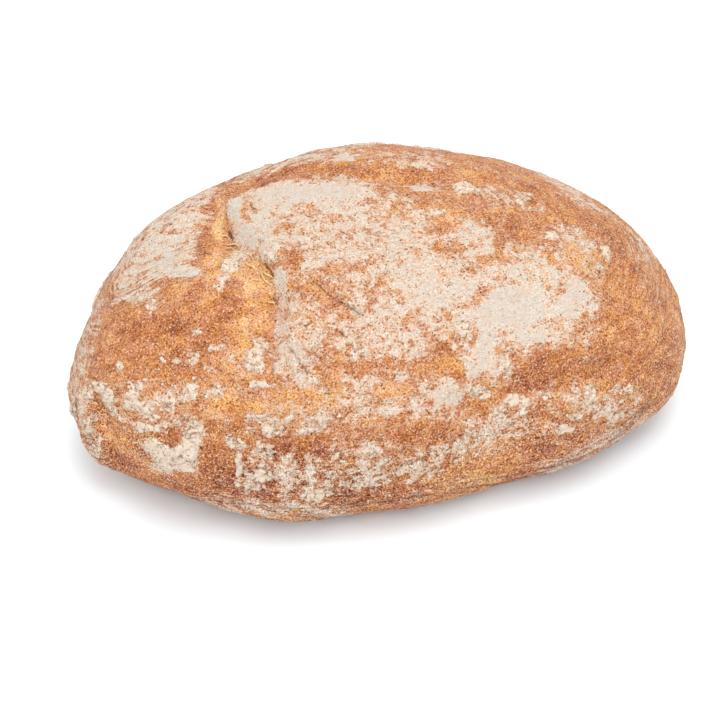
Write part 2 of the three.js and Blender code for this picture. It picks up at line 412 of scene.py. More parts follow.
CAKED_FLOUR = {
    "torn shred": Patch(233, 262, 18, 8, -50),
    "torn shred below": Patch(219, 283, 7, 10, 20, 0.8),
    "shred beyond the tear": Patch(268, 256, 9, 6, 30, 1.4),
    "shoulder drip": Patch(151, 309, 5, 13, 6, 0.8),
    "roof spot one": Patch(461, 188, 9, 6, 12),
    "roof spot two": Patch(487, 189, 7, 3.5, 20, 0.3),
    "roof spot three": Patch(524, 196, 9, 5.5, 8, 1.3),
    "roof spot four": Patch(496, 206, 9, 2.4, 14, 0.8),
    "roof spot five": Patch(541, 208, 8, 4, 25, 0.9),
    "roof spot six": Patch(433, 213, 10, 5, 0, 0.75),
    "roof spot seven": Patch(405, 227, 9, 7, 0, 0.7),
    "wedge spot one": Patch(553, 236, 10, 6),
    "wedge spot two": Patch(577, 230, 12, 5, 28, 1.1),
    "wedge spot three": Patch(588, 243, 11, 8, 40, 0.75),
    "wedge spot four": Patch(605, 252, 5, 12, -15, 0.75),
    "wedge spot five": Patch(532, 252, 16, 6, 8, 0.65),
    "wedge left spot": Patch(465, 330, 11, 9),
    "wedge right tail": Patch(508, 362, 5, 22, 4, 0.75),
    "wedge foot": Patch(478, 392, 13, 6, 15),
    "belt bead one": Patch(513, 403, 8, 6, -10),
    "belt bead two": Patch(528, 403, 6, 4.5),
    "belt bead three": Patch(499, 410, 9, 3, -14),
    "belt bead four": Patch(546, 397, 6, 5, 30, 0.8),
    "belt cake": Patch(592, 399, 10, 14, -25, 0.85),
    "belt cake below": Patch(576, 415, 10, 4, -10, 1.2),
    "right low bead": Patch(567, 430, 10, 6, 15, 1.1),
    "right rim streak": Patch(628, 391, 5, 9, 20, 0.85),
    "right rim cake": Patch(618, 414, 5, 11, 30, 0.5),
    "lone bead right": Patch(585, 363, 4, 6, 30, 0.8),
    "nose top": Patch(84, 396, 9, 8, 0, 0.95),
    "nose middle": Patch(86, 428, 6, 11, -25, 0.9),
    "nose foot": Patch(92, 450, 8, 14, -38, 0.6),
    "left islands top": Patch(98, 387, 12, 5, 10),
    "left islands middle": Patch(109, 397, 8, 7, 20),
    "left islands drop": Patch(112, 409, 4, 8, -10, 0.8),
    "left island alone": Patch(131, 393, 5.5, 5.5),
    "left speck above": Patch(116, 367, 3.5, 5.5, 10, 2.4),
    "left field upper": Patch(140, 407, 19, 8, 18, 0.88),
    "left field lower": Patch(148, 428, 17, 6, -2),
    "left bridge": Patch(166, 408, 6, 8, 10, 0.65),
    "left tongue": Patch(172, 396, 7, 17, 12, 0.7),
    "left twin": Patch(191, 388, 9, 13, -6),
    "left cross": Patch(216, 393, 6, 10, 8),
    "left cross arm": Patch(208, 396, 8, 4, 0, 0.8),
    "left fleck one": Patch(160, 362, 6, 8, 0, 1.7),
    "left fleck two": Patch(176, 363, 5, 6, 0, 2.0),
    "left fleck three": Patch(193, 359, 7, 6, 0, 2.6),
    "left fleck four": Patch(209, 368, 8, 4, 30, 1.4),
    "left fleck five": Patch(214, 347, 10, 4, -12, 1.7),
    "left fleck six": Patch(197, 332, 7, 4, 0, 2.2),
    "left fleck seven": Patch(149, 377, 4, 9, 10, 1.3),
    "clump left arm": Patch(156, 452, 11, 16, -28),
    "clump right arm": Patch(192, 440, 12, 20, 14),
    "clump foot": Patch(176, 464, 28, 8, -8),
    "clump body": Patch(178, 455, 22, 13, -12),
    "tall patch": Patch(256, 357, 11, 20, 14),
    "tall patch foot": Patch(263, 385, 13, 4.5, 4),
    "pale bump": Patch(315, 338, 7, 9, -12, 1.3),
    "pale flake": Patch(350, 340, 18, 5, 58, 0.9),
    "front scatter one": Patch(255, 416, 14, 3, 0, 1.4),
    "front scatter two": Patch(247, 427, 4, 8, -30, 0.5),
    "front scatter three": Patch(265, 432, 9, 5, 32, 0.85),
    "front scatter four": Patch(277, 427, 4, 12, -8, 0.9),
    "front scatter five": Patch(309, 430, 8, 7, 0, 0.75),
    "front scatter six": Patch(326, 420, 9, 4, 10, 0.8),
    "front arc upper": Patch(236, 445, 13, 7, 28, 0.85),
    "front arc side": Patch(240, 465, 4.5, 12, -8),
    "front arc right": Patch(266, 450, 13, 6, -18),
    "front arc foot": Patch(262, 475, 17, 8, 14, 0.85),
    "front low left": Patch(253, 488, 17, 6, 5, 0.8),
    "front low middle": Patch(317, 495, 19, 6, -6),
    "front mottle one": Patch(297, 472, 11, 6, -10, 0.4),
    "front mottle two": Patch(333, 474, 9, 5, 0, 0.7),
    "front pale one": Patch(370, 453, 9, 10, 0, 0.8),
    "front pale two": Patch(370, 479, 20, 9, -18, 0.85),
    "front pale three": Patch(402, 474, 6, 6, 0, 0.8),
    "front pale four": Patch(436, 451, 13, 5, -25, 0.8),
    "front pale five": Patch(434, 478, 14, 5, -20, 0.5),
}

FLAKY = {
    "left islands": Patch(150, 404, 72, 24, 6, 0.85),
    "left upper": Patch(205, 362, 50, 22, 10, 0.8),
    "nose": Patch(84, 420, 14, 36, -22, 0.85),
    "front": Patch(350, 470, 90, 22, -4, 0.82),
    "front upper": Patch(290, 424, 60, 16, 0, 0.85),
    "front right": Patch(450, 448, 46, 20, -14, 0.8),
    "brow": Patch(400, 400, 90, 16, 0, 0.6),
    "belt": Patch(556, 406, 70, 16, -10, 0.85),
    "right low": Patch(610, 406, 34, 20, -24, 0.95),
    "wedge right": Patch(578, 246, 38, 26, 34, 0.85),
    "roof": Patch(500, 198, 70, 18, 14, 0.5),
    "flap": Patch(380, 262, 80, 40, 6, 0.55),
}

FLOUR_FILM = {
    "flap crown": Patch(308, 191, 66, 11, -4, 1.3),
    "flap corner": Patch(235, 209, 8, 13, 0, 1.3),
    "flap corner band": Patch(259, 212, 5, 15, 62, 1.3),
    "flap left": Patch(247, 234, 18, 10, 38, 1.3),
    "flap left low": Patch(281, 285, 8, 24, 8, 1.0),
    "flap left foot": Patch(279, 326, 8, 20, 0, 0.95),
    "flap middle": Patch(322, 232, 14, 9, 30, 0.98),
    "flap rib": Patch(392, 258, 30, 5, -6, 0.91),
    "flap rib below": Patch(375, 240, 26, 5, -14, 0.85),
    "shoulder upper streak": Patch(180, 235, 27, 6, -36, 0.95),
    "shoulder middle streak": Patch(160, 261, 24, 5, -24, 1.15),
    "shoulder lower streak": Patch(182, 272, 24, 6, 2, 1.15),
    "shoulder low left": Patch(124, 283, 13, 3.5, -20, 1.1),
    "shoulder pale band": Patch(130, 298, 20, 5, 3, 1.0),
    "ridge left": Patch(252, 172, 32, 3, -26, 1.0),
    "ridge middle": Patch(303, 156, 12, 3.5, -8, 1.0),
    "ridge right": Patch(346, 157, 18, 4, -2, 1.05),
    "roof thin streak": Patch(422, 186, 22, 2.2, 1, 1.1),
    "wedge heart": Patch(514, 308, 54, 28, -10, 1.3),
    "wedge upper": Patch(520, 272, 44, 15, 6, 1.0),
    "wedge right": Patch(572, 300, 20, 30, 10, 1.14),
    "wedge tail": Patch(484, 352, 34, 12, -62, 1.16),
    "wedge lower": Patch(528, 335, 30, 13, -8, 1.05),
    "wedge far right": Patch(593, 304, 8, 26, -12, 0.85),
    "wedge upper right": Patch(568, 234, 26, 12, 28, 0.78),
    "wedge foot": Patch(495, 370, 12, 22, 10, 0.8),
    "tear side": Patch(200, 223, 9, 11, -40, 0.8),
    "wedge left": Patch(462, 300, 26, 34, 10, 0.86),
    "wedge low left": Patch(468, 350, 18, 22, 20, 0.8),
    "wrinkled flour": Patch(298, 360, 34, 22, 50, 0.9),
    "flap front upper": Patch(390, 310, 30, 10, 8, 0.91),
    "flap front": Patch(400, 345, 22, 10, 6, 0.7),
    "front right cake": Patch(479, 432, 18, 9, -6, 0.91),
    "brow pale one": Patch(384, 412, 12, 5, 6, 0.9),
    "brow pale two": Patch(448, 395, 18, 14, 0, 1.08),
    "brow pale three": Patch(420, 408, 12, 7, 0, 0.91),
}

THIN_FLOUR = {
    "flap left": Patch(262, 232, 36, 30, 20, 0.9),
    "flap crown": Patch(308, 196, 74, 20, -4, 0.98),
    "flap": Patch(352, 240, 108, 58, 6, 0.77),
    "flap front": Patch(385, 322, 92, 46, 0, 0.71),
    "below the slash": Patch(300, 318, 38, 26, 20, 0.74),
    "flap right": Patch(438, 284, 62, 38, 10, 0.94),
    "wedge": Patch(530, 300, 84, 60, -8, 0.84),
    "right of the flap": Patch(468, 240, 36, 24, 0, 0.88),
    "wedge right edge": Patch(590, 325, 16, 26, 10, 0.7),
    "shoulder": Patch(160, 247, 62, 32, -34, 0.82),
    "shoulder silhouette": Patch(165, 216, 74, 18, -36, 0.8),
    "shoulder foot": Patch(135, 296, 34, 13, -4, 0.6),
    "ridge": Patch(300, 160, 96, 11, -14, 0.64),
    "ridge right": Patch(410, 158, 60, 10, 4, 0.63),
    "wrinkles": Patch(296, 360, 34, 34, 0, 0.74),
    "brow": Patch(395, 398, 96, 30, 2, 0.62),
    "front middle": Patch(340, 468, 120, 32, -6, 0.58),
    "front upper": Patch(300, 415, 60, 22, 0, 0.6),
    "front right": Patch(470, 432, 72, 30, -10, 0.7),
    "belt": Patch(560, 410, 70, 26, -10, 0.5),
    "left islands": Patch(150, 405, 80, 36, 6, 0.5),
    "nose": Patch(84, 420, 16, 40, -22, 0.48),
    "base rim": Patch(280, 511, 110, 9, 4, 0.66),
    "right base rim": Patch(585, 455, 110, 10, -27, 0.68),
    "right edge": Patch(660, 292, 20, 96, -18, 0.72),
    "right low": Patch(625, 404, 34, 30, -30, 0.52),
    "top right edge": Patch(570, 190, 70, 6, 32, 0.68),
    "left edge": Patch(84, 345, 13, 60, 16, 0.72),
    "roof": Patch(500, 205, 90, 26, 16, 0.5),
    "left speckle": Patch(200, 360, 60, 30, 0, 0.44),
}

BARE_CRUST = {
    "valley left": Patch(262, 181, 36, 4, -22, 0.9),
    "valley middle": Patch(318, 167, 34, 3.8, -3, 0.8),
    "valley right": Patch(388, 174, 50, 5.5, 3, 0.9),
    "valley end": Patch(458, 176, 50, 5, 6, 0.7),
    "curl": Patch(245, 215, 3.5, 9, -16, 0.7),
    "curl shadow": Patch(251, 206, 2.5, 9, -36, 0.2),
    "flap hole one": Patch(302, 207, 13, 6, -4, 0.75),
    "flap hole two": Patch(284, 229, 11, 6, 5, 0.7),
    "flap hole three": Patch(292, 257, 10, 13, 0, 0.8),
    "tear lip": Patch(267, 266, 11, 6, 55, 0.5),
    "slash floor": Patch(333, 304, 26, 7, 40, 0.45),
    "slash left": Patch(312, 287, 8, 6, 30, 0.1),
    "flap dull streak": Patch(345, 268, 26, 6, -8, 0.7),
    "flap right hole one": Patch(445, 224, 14, 8, 0, 0.6),
    "flap right hole two": Patch(452, 246, 18, 5, 4, 0.8),
    "flap right hole three": Patch(474, 270, 9, 6, -10, 0.5),
    "wedge gap upper": Patch(503, 258, 4, 14, 0, 0.45),
    "wedge gap middle": Patch(555, 264, 4, 13, -35, 0.8),
    "wedge gap right": Patch(574, 258, 6, 14, -25, 0.7),
    "wedge gap low": Patch(548, 298, 5, 14, 4, 0.4),
    "wedge gap lower": Patch(564, 288, 4, 10, 0, 0.45),
    "wedge gap far": Patch(592, 288, 5, 16, -15, 0.3),
    "wedge left step": Patch(471, 303, 19, 6, -22, 0.5),
    "wedge left step low": Patch(449, 315, 8, 6, 0, 0.4),
    "roof bare": Patch(512, 220, 50, 12, 14, 0.6),
    "roof far bare": Patch(560, 216, 66, 9, 32, 0.6),
    "right end": Patch(648, 320, 46, 62, 10, 0.9),
    "right brow": Patch(555, 366, 36, 15, -8, 0.85),
    "belt hollow": Patch(530, 386, 24, 7, -10, 0.4),
    "belt golden": Patch(555, 412, 26, 12, -8, 0.5),
    "front band": Patch(430, 434, 34, 12, -6, 0.85),
    "front gold": Patch(478, 411, 13, 8, 10, 0.7),
    "low right gold": Patch(500, 465, 40, 9, -10, 0.85),
    "low right gold two": Patch(532, 446, 14, 12, 0, 0.6),
    "dimple": Patch(441, 350, 20, 9, 28, 0.5),
    "dimple foot": Patch(452, 367, 13, 9, -10, 0.7),
    "olive": Patch(396, 390, 24, 7, -2, 0.8),
    "stripe beside the tall patch": Patch(269, 357, 25, 3.4, 94, 0.3),
    "wrinkle one": Patch(296, 358, 22, 2.4, 56, 0.45),
    "wrinkle two": Patch(309, 349, 15, 2.0, 36, 0.6),
    "wrinkle three": Patch(284, 366, 17, 2.2, 64, 0.2),
    "wrinkle four": Patch(317, 372, 20, 2.6, 60, 0.65),
    "wrinkle five": Patch(330, 388, 17, 2.6, 78, 0.85),
    "gold band": Patch(225, 408, 42, 10, -2, 0.85),
    "gold band right": Patch(298, 402, 26, 12, 0, 0.3),
    "shoulder bare": Patch(160, 345, 66, 38, 8, 0.85),
    "shoulder bare right": Patch(226, 315, 38, 22, -6, 0.9),
    "tear gold": Patch(219, 225, 7, 22, 0, 0.6),
    "tear gold low": Patch(213, 262, 8, 26, 4),
    "tear brown": Patch(206, 241, 9, 19, 6, 0.9),
    "flap foot gold": Patch(258, 298, 17, 32, -4),
    "strip": Patch(118, 446, 12, 38, -32, 1.05),
    "strip foot": Patch(146, 479, 30, 9, 24, 1.0),
    "base gold": Patch(470, 486, 34, 5, -10, 0.2),
    "clump notch": Patch(174, 441, 5, 10, -8, 0.8),
    "front dark": Patch(302, 448, 32, 10, 2, 0.65),
    "front dark left": Patch(214, 456, 14, 16, 0, 0.85),
    "front low dark": Patch(205, 484, 24, 8, 12, 0.8),
}

PALE_GOLD = {
    "slash floor": Patch(328, 300, 26, 8, 40, 0.25),
    "tear": Patch(219, 222, 6, 26, 2, 1.0),
    "tear low": Patch(212, 265, 9, 26, 4, 0.7),
    "torn shred": Patch(236, 262, 14, 16, 0, 0.7),
    "flap foot": Patch(260, 290, 16, 32, -4, 0.72),
    "flap foot low": Patch(252, 322, 18, 12, 0, 0.45),
    "valley gold left": Patch(244, 187, 12, 3.5, -20, 0.5),
    "valley gold right": Patch(392, 178, 34, 4, 2, 0.2),
    "roof gold": Patch(448, 222, 14, 10, 0, 0.5),
    "wedge gold": Patch(548, 296, 14, 34, -20, 0.6),
    "wedge gold right": Patch(577, 256, 16, 16, 0, 0.6),
    "dimple foot": Patch(453, 367, 14, 8, -10, 0.3),
    "olive": Patch(398, 391, 26, 8, -2, 0.25),
    "brow gold": Patch(312, 402, 40, 14, -4, 0.6),
    "gold band": Patch(226, 408, 46, 12, -2, 0.4),
    "left gold": Patch(236, 372, 14, 26, 8, 0.45),
    "belt gold": Patch(566, 404, 26, 12, -8, 0.5),
    "low right gold": Patch(500, 452, 34, 16, -10, 0.45),
    "strip": Patch(112, 432, 8, 26, -32, 0.3),
    # base gold: partly the rim's golden colour, partly painted light where the rim faces down towards the bright
    # floor.
    "base gold": Patch(470, 484, 30, 5, -10, 0.9),
}

# Darker crust tone: mostly a browner bake, and on the lower front and lower right partly painted shade.
BAKED_DARK_AND_SHADED = {
    "dark spot": Patch(171, 325, 14, 11, 10, 1.0),
    "dark spot halo": Patch(165, 345, 40, 30, 30, 0.35),
    "tear brown": Patch(207, 241, 9, 18, 6, 0.65),
    "valley": Patch(272, 177, 44, 3.4, -20, 0.7),
    "valley right": Patch(345, 168, 40, 4, 2, 0.45),
    "left brown": Patch(236, 306, 32, 12, -10, 0.5),
    "tear lip": Patch(268, 267, 10, 5, 55, 0.2),
    "hole three": Patch(292, 255, 9, 11, 0, 0.35),
    "roof": Patch(515, 232, 36, 12, 14, 0.2),
    "roof edge": Patch(600, 222, 40, 12, 34, 0.25),
    "right end upper": Patch(635, 262, 26, 22, 30, 0.2),
    "right end lower": Patch(620, 368, 44, 14, 0, 0.3),
    "right brow": Patch(550, 368, 40, 14, -8, 0.5),
    "belt hollow": Patch(530, 388, 30, 7, -8, 0.62),
    "belt pits": Patch(548, 412, 34, 8, -8, 0.55),
    # low right, front band, front dark, front dark left and front foot: partly browner crust, partly painted shade on
    # lower faces turned from the high light.
    "low right": Patch(556, 444, 34, 14, -12, 0.42),
    "dimple": Patch(434, 346, 18, 9, 20, 0.5),
    "front band": Patch(425, 436, 38, 10, -8, 0.6),
    "front dark": Patch(300, 452, 46, 14, 2, 0.6),
    "front dark left": Patch(212, 460, 18, 20, 0, 0.6),
    "front foot": Patch(290, 490, 120, 22, 2, 0.75),
    "nose seam": Patch(98, 402, 14, 5, 30, 0.25),
    "left low": Patch(200, 425, 60, 20, 0, 0.2),
    "nose foot": Patch(116, 464, 12, 30, -50, 0.7),
    "left edge": Patch(100, 345, 10, 60, 18, 0.1),
    "slash floor": Patch(330, 302, 22, 7, 40, 0.1),
}


@dataclass(frozen=True)
class Crease:
    """A fine dark crease, as a route of pixels, its half width in pixels, its depth in mm and how dark the shade
    painted along it is.
    """

    route: tuple[tuple[float, float], ...]
    width: float
    depth: float
    darkness: float

    def read(self, pixels: np.ndarray) -> tuple[np.ndarray, np.ndarray]:
        """Where each pixel lies beside the crease.

        Args:
            pixels: places in the photograph.

        Returns:
            The signed distance in half widths, and how far the crease has opened there, from 0 at its ends to 1.
        """
        distance = np.full(len(pixels), np.inf)
        place = np.zeros(len(pixels))
        walked = 0.0
        for start, end in zip(self.route, self.route[1:], strict=False):
            start, along = np.array(start, float), np.subtract(end, start)
            length = np.hypot(*along)
            offset = pixels - start
            t = np.clip(offset @ along / length ** 2, 0, 1)
            gap = np.hypot(*(offset - t[:, None] * along).T)
            side = np.where(along[0] * offset[:, 1] > along[1] * offset[:, 0], 1.0, -1.0)
            near = gap < np.abs(distance)
            distance = np.where(near, side * gap, distance)
            place = np.where(near, walked + t * length, place)
            walked += length
        open_share = ease(np.minimum(place, walked - place), 0, min(6.0, walked / 3))
        return distance / self.width, open_share


CREASES = {
    "slash": Crease(((308, 276), (319, 285), (332, 297), (348, 306), (365, 318)), 1.0, 0.9, 0.5),
    "slash twin": Crease(((337, 329), (345, 338)), 0.9, 0.4, 0.8),
    "tear top": Crease(((226, 204), (225, 212), (227, 221)), 0.9, 0.6, 0.6),
    "tear gap": Crease(((227, 223), (229, 232), (233, 242)), 1.5, 1.6, 1.0),
    "tear nick": Crease(((226, 250), (234, 248)), 1.1, 0.9, 0.9),
    "tear right": Crease(((257, 250), (262, 259), (270, 270), (274, 281)), 1.3, 1.0, 0.85),
    "tear foot": Crease(((270, 295), (277, 304)), 1.0, 0.6, 0.9),
    "curl": Crease(((246, 198), (251, 205), (258, 213)), 0.9, 0.5, 0.6),
    "wrinkle one": Crease(((282, 340), (290, 349), (294, 362)), 1.2, 0.6, 0.1),
    "wrinkle two": Crease(((286, 344), (297, 358), (304, 370), (311, 378)), 1.5, 0.9, 0.3),
    "wrinkle three": Crease(((293, 342), (306, 350), (314, 362)), 1.2, 0.6, 0.15),
    "wrinkle four": Crease(((310, 340), (319, 354), (322, 368)), 1.2, 0.5, 0.1),
    "wrinkle five": Crease(((281, 352), (289, 368), (298, 384)), 1.3, 0.6, 0.1),
    "wrinkle six": Crease(((325, 372), (327, 388), (331, 402)), 1.4, 0.6, 0.15),
    "wrinkle seven": Crease(((270, 352), (272, 372), (275, 386)), 1.8, 0.7, 0.1),
    "nose line one": Crease(((75, 430), (84, 440), (97, 441)), 0.9, 0.6, 0.8),
    "nose line two": Crease(((82, 440), (92, 452), (103, 463)), 0.8, 0.5, 0.6),
    "nose line three": Crease(((88, 402), (98, 400), (106, 412)), 1.1, 0.7, 0.7),
    "clump line": Crease(((180, 447), (182, 452), (181, 458)), 0.9, 0.4, 0.8),
    "patch crack": Crease(((250, 356), (255, 362), (254, 370)), 0.6, 0.3, 0.6),
    "shoulder line": Crease(((168, 277), (190, 277), (200, 272)), 0.7, 0.4, 0.5),
    "front line one": Crease(((236, 466), (243, 477), (256, 478)), 0.9, 0.5, 0.8),
    "front line two": Crease(((262, 446), (266, 456), (276, 459)), 0.8, 0.5, 0.7),
    "front line three": Crease(((388, 482), (402, 468), (428, 457)), 1.2, 0.6, 0.4),
    "front line four": Crease(((408, 489), (428, 475), (452, 461)), 1.2, 0.6, 0.4),
    "rim line one": Crease(((440, 489), (500, 479), (560, 466), (612, 438), (650, 404)), 0.9, 0.4, 0.55),
    "rim line two": Crease(((455, 493), (515, 483), (580, 463), (630, 432), (664, 396)), 0.9, 0.4, 0.55),
    "rim line three": Crease(((560, 470), (604, 449), (640, 419), (668, 384)), 0.8, 0.4, 0.5),
    "rim line four": Crease(((230, 504), (290, 512), (360, 508), (430, 495)), 1.0, 0.4, 0.6),
}


CRAGGY = {
    "front": Patch(310, 470, 115, 30, -2),
    "front right": Patch(440, 452, 60, 22, -16, 0.8),
    "nose": Patch(84, 425, 18, 42, -22, 0.9),
    "belt": Patch(575, 412, 62, 18, -14, 0.7),
    "left islands": Patch(150, 408, 70, 30, 6, 0.45),
}

COMBED = {
    "flap": Patch(365, 250, 85, 50, 6, 0.45),
    "roof": Patch(520, 200, 90, 26, 22, 0.6),
    "right edge": Patch(650, 290, 34, 84, -18, 0.6),
    "wedge right": Patch(566, 282, 50, 52, 0, 0.45),
    "shoulder": Patch(165, 235, 72, 34, -34),
    "shoulder foot": Patch(130, 292, 40, 18, -20),
    "ridge": Patch(270, 165, 60, 12, -20),
    "left edge": Patch(86, 335, 12, 50, 18, 0.8),
}


# ---- the crust as a mesh ----


@dataclass
class CrustNet:
    """A closed net of quads over the loaf, finer on the crown than on the base."""

    cells: int = 128
    globe_belly: float = 115.0
    globe_base: float = 164.0

    def directions(self) -> tuple[np.ndarray, np.ndarray]:
        """The net on a globe: its unit vectors, and the four corners of each cell, seen from outside."""
        steps = np.tan(np.linspace(-1, 1, self.cells + 1) * math.pi / 4)
        u, v = np.meshgrid(steps, steps, indexing="ij")
        one = np.ones_like(u)
        faces = [(one, u, v), (-one, v, u), (v, one, u), (u, -one, v), (u, v, one), (v, u, -one)]
        grid = np.concatenate([np.stack(face, -1).reshape(-1, 3) for face in faces])
        grid /= np.linalg.norm(grid, axis=1, keepdims=True)
        row = self.cells + 1
        corner = (np.arange(self.cells)[:, None] * row + np.arange(self.cells)).ravel()
        quad = np.stack([corner, corner + row, corner + row + 1, corner + 1], axis=1)
        quads = np.concatenate([quad + i * row * row for i in range(len(faces))])
        _, first, where = np.unique(np.round(grid, 6), axis=0, return_index=True, return_inverse=True)
        return grid[first], where.ravel()[quads]

    def normals(self, points: np.ndarray, quads: np.ndarray) -> np.ndarray:
        """The net's unit normals at its points."""
        a, b, c, d = (points[quads[:, i]] for i in range(4))
        areas = np.cross(c - a, d - b)
        total = np.zeros_like(points)
        for i in range(4):
            np.add.at(total, quads[:, i], areas)
        return total / np.linalg.norm(total, axis=1, keepdims=True)

    def spread(self, form: LoafForm, polar: np.ndarray) -> np.ndarray:
        """The fall that each polar angle of the globe is drawn to, in even steps along the crust."""
        falls = np.linspace(0, 90, 361)
        walked = form.walk(falls)
        crown = np.interp(polar / self.globe_belly, walked / walked[-1], falls)
        side = np.interp(polar, (self.globe_belly, self.globe_base), (90, form.base_fall))
        base = np.interp(polar, (self.globe_base, 180), (form.base_fall, 180))
        return np.where(polar < self.globe_belly, crown, np.where(polar < self.globe_base, side, base))


@dataclass
class HiddenSide:
    """Flour and baking on the sides that the photograph doesn't show, drawn from one seed."""

    seed: int = 41
    patches: int = 60
    smallest: float = 3.0
    largest: float = 15.0

    def cover(self, form: LoafForm, points: np.ndarray) -> np.ndarray:
        """How much caked flour lies at each point."""
        draw = np.random.default_rng(self.seed)
        bearings = draw.uniform(-20, 200, self.patches)
        falls = draw.uniform(25, 118, self.patches)
        radii = self.smallest * (self.largest / self.smallest) ** draw.uniform(0, 1, self.patches)
        flatness = draw.uniform(0.25, 0.8, self.patches)
        total = np.zeros(len(points))
        for centre, radius, flat in zip(form.points(bearings, falls), radii, flatness, strict=True):
            offset = (points - centre) / radius
            offset[:, 2] /= flat
            total = np.maximum(total, ease(1.5 - np.linalg.norm(offset, axis=1), 0, 1))
        return total


@dataclass
class Crust:
    """The loaf's crust: its form, relief, flour and baking."""

    form: LoafForm = field(default_factory=LoafForm)
    net: CrustNet = field(default_factory=CrustNet)
    rise: UnevenRise = field(default_factory=UnevenRise)
    hidden: HiddenSide = field(default_factory=HiddenSide)
    view: PhotoView = field(default_factory=PhotoView)
    base_clearance: float = 7.0
    room_for_flour: float = 1.1

    def shaped(self, points: np.ndarray, out: np.ndarray) -> np.ndarray:
        """The relief that the solid has too: folds, swellings and uneven rising."""
        height = self.rise.heights(points)
        for fold in FOLDS.values():
            height += fold.heights(self.form, points, out)
        for swelling in SWELLINGS.values():
            height += swelling.heights(self.form, points)
        return height

    def fitted(self, points: np.ndarray) -> np.ndarray:
        """The points, moved and scaled a little so that the flour on them still stays inside the solid's box."""
        low, high = (np.array(corner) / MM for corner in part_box(LOAF_NODE))
        room = np.array([self.room_for_flour, self.room_for_flour, 0.0])
        low, high = low + room, high - self.room_for_flour
        share = (points - points.min(axis=0)) / (points.max(axis=0) - points.min(axis=0))
        return low + share * (high - low)

    def build(self, finish: "CrustFinish") -> bpy.types.Object:
        """Makes the crust's mesh object, with the fields that its finish reads."""
        directions, quads = self.net.directions()
        polar = np.degrees(np.arccos(np.clip(directions[:, 2], -1, 1)))
        bearing = np.degrees(np.arctan2(directions[:, 1], directions[:, 0]))
        smooth = self.form.points(bearing, self.net.spread(self.form, polar))
        out = self.form.outward(smooth)
        free = ease(smooth[:, 2], 0, self.base_clearance)
        risen = smooth + out * (self.shaped(smooth, out) * free)[:, None]
        fields = self.dressing(smooth, self.fitted(risen), self.net.normals(risen, quads))
        grain = self.form.grain(bearing, self.net.spread(self.form, polar))
        fields["skin"] = rough(grain, 1.9, 3, 9)
        crags = self.crags(smooth, grain) * fields["craggy"]
        fields["crags"] = crags
        fields["dust"] += 0.50 * crags
        fields["tone"] -= 0.26 * crags
        points = self.fitted(risen + out * (self.fine_relief(self.fitted(risen), fields) * free)[:, None])
        mesh = bpy.data.meshes.new("crust")
        mesh.from_pydata((points * MM).tolist(), [], quads.tolist())
        fields["caked"] *= ease(points[:, 2], 0.5, self.base_clearance / 2)
        fields["gritty"] = (1.2 - 0.86 * ease(fields["dust"], 0.85, 1.30)) * (1 + 1.2 * ease(54 - points[:, 2], 0, 24))
        for name in ("caked", "dust", "tone", "crease", "painted_crease_shade", "combed", "gritty"):
            mesh.attributes.new(name, "FLOAT", "POINT").data.foreach_set("value", fields[name].astype(np.float32))
        mesh.attributes.new("grain", "FLOAT_VECTOR", "POINT").data.foreach_set(
            "vector", grain.astype(np.float32).ravel())
        clump = (0.25 * ease(fields["caked"], 0.05, 0.35) + 0.75 * ease(fields["caked"], 0.4, 0.8)) * free
        mesh.attributes.new("clump", "FLOAT", "POINT").data.foreach_set("value", clump.astype(np.float32))
        mesh.shade_smooth()
        mesh.materials.append(finish.material())
        crust = bpy.data.objects.new("crust", mesh)
        bpy.context.scene.collection.objects.link(crust)
        return crust

    def dressing(self, smooth: np.ndarray, points: np.ndarray, normals: np.ndarray) -> dict[str, np.ndarray]:
        """What lies on the crust at each point.

        Args:
            smooth: the smooth form's points, measured from under the crown.
            points: the relief's points, in the loaf's frame.
            normals: the relief's unit normal at each point.

        Returns:
            Fields by name: caked flour, dust, tone, crease, the shade painted along the creases, and how far the skin
                is combed along its grain.
        """
        seen = ease(self.view.facing(points, normals), -0.02, 0.08)
        wander = np.stack([rough(points, 9, 2, seed) for seed in (1, 2)], axis=1)
        shiver = np.stack([rough(points, 3.4, 2, seed) for seed in (11, 12)], axis=1)
        pixels = self.view.pixels(points)
        loose = pixels + 3.6 * wander + 2.4 * shiver
        lumps = rough(points, 3.2, 3, 3)
        broad = rough(points, 13, 3, 4)
        bare = covered(BARE_CRUST, loose)

        flaky = covered(FLAKY, loose)
        flakes = flaky * ease(rough(points, 4.2, 2, 23), 0.10, 0.42)
        caked = np.maximum(np.maximum(covered(CAKED_FLOUR, loose), flakes), 0.27 * flaky) * (1 - 0.9 * bare)
        dust = (0.06 + np.maximum(0.32, covered(THIN_FLOUR, loose))) * (1 - 0.62 * bare)
        dust = np.maximum(dust, covered(FLOUR_FILM, loose) * (1 - 0.6 * bare))
        # Tone: darker for a browner bake and for the shade painted on the lower front, paler for pale gold crust and
        # for the light painted along the base rim.
        tone = 0.50 + 0.30 * covered(BAKED_DARK_AND_SHADED, loose) - 0.34 * covered(PALE_GOLD, loose)
        hidden_caked = self.hidden.cover(self.form, smooth) * (0.75 + 0.25 * broad)
        hidden_dust = 0.55 + 0.30 * broad
        hidden_tone = 0.52 - 0.2 * rough(points, 26, 2, 5)
        underside = ease(-points[:, 2], -10, -2)
        caked = hidden_caked + (caked - hidden_caked) * seen
        dust = hidden_dust + (dust - hidden_dust) * seen + 0.12 * underside
        tone = hidden_tone + (tone - hidden_tone) * seen + 0.12 * underside
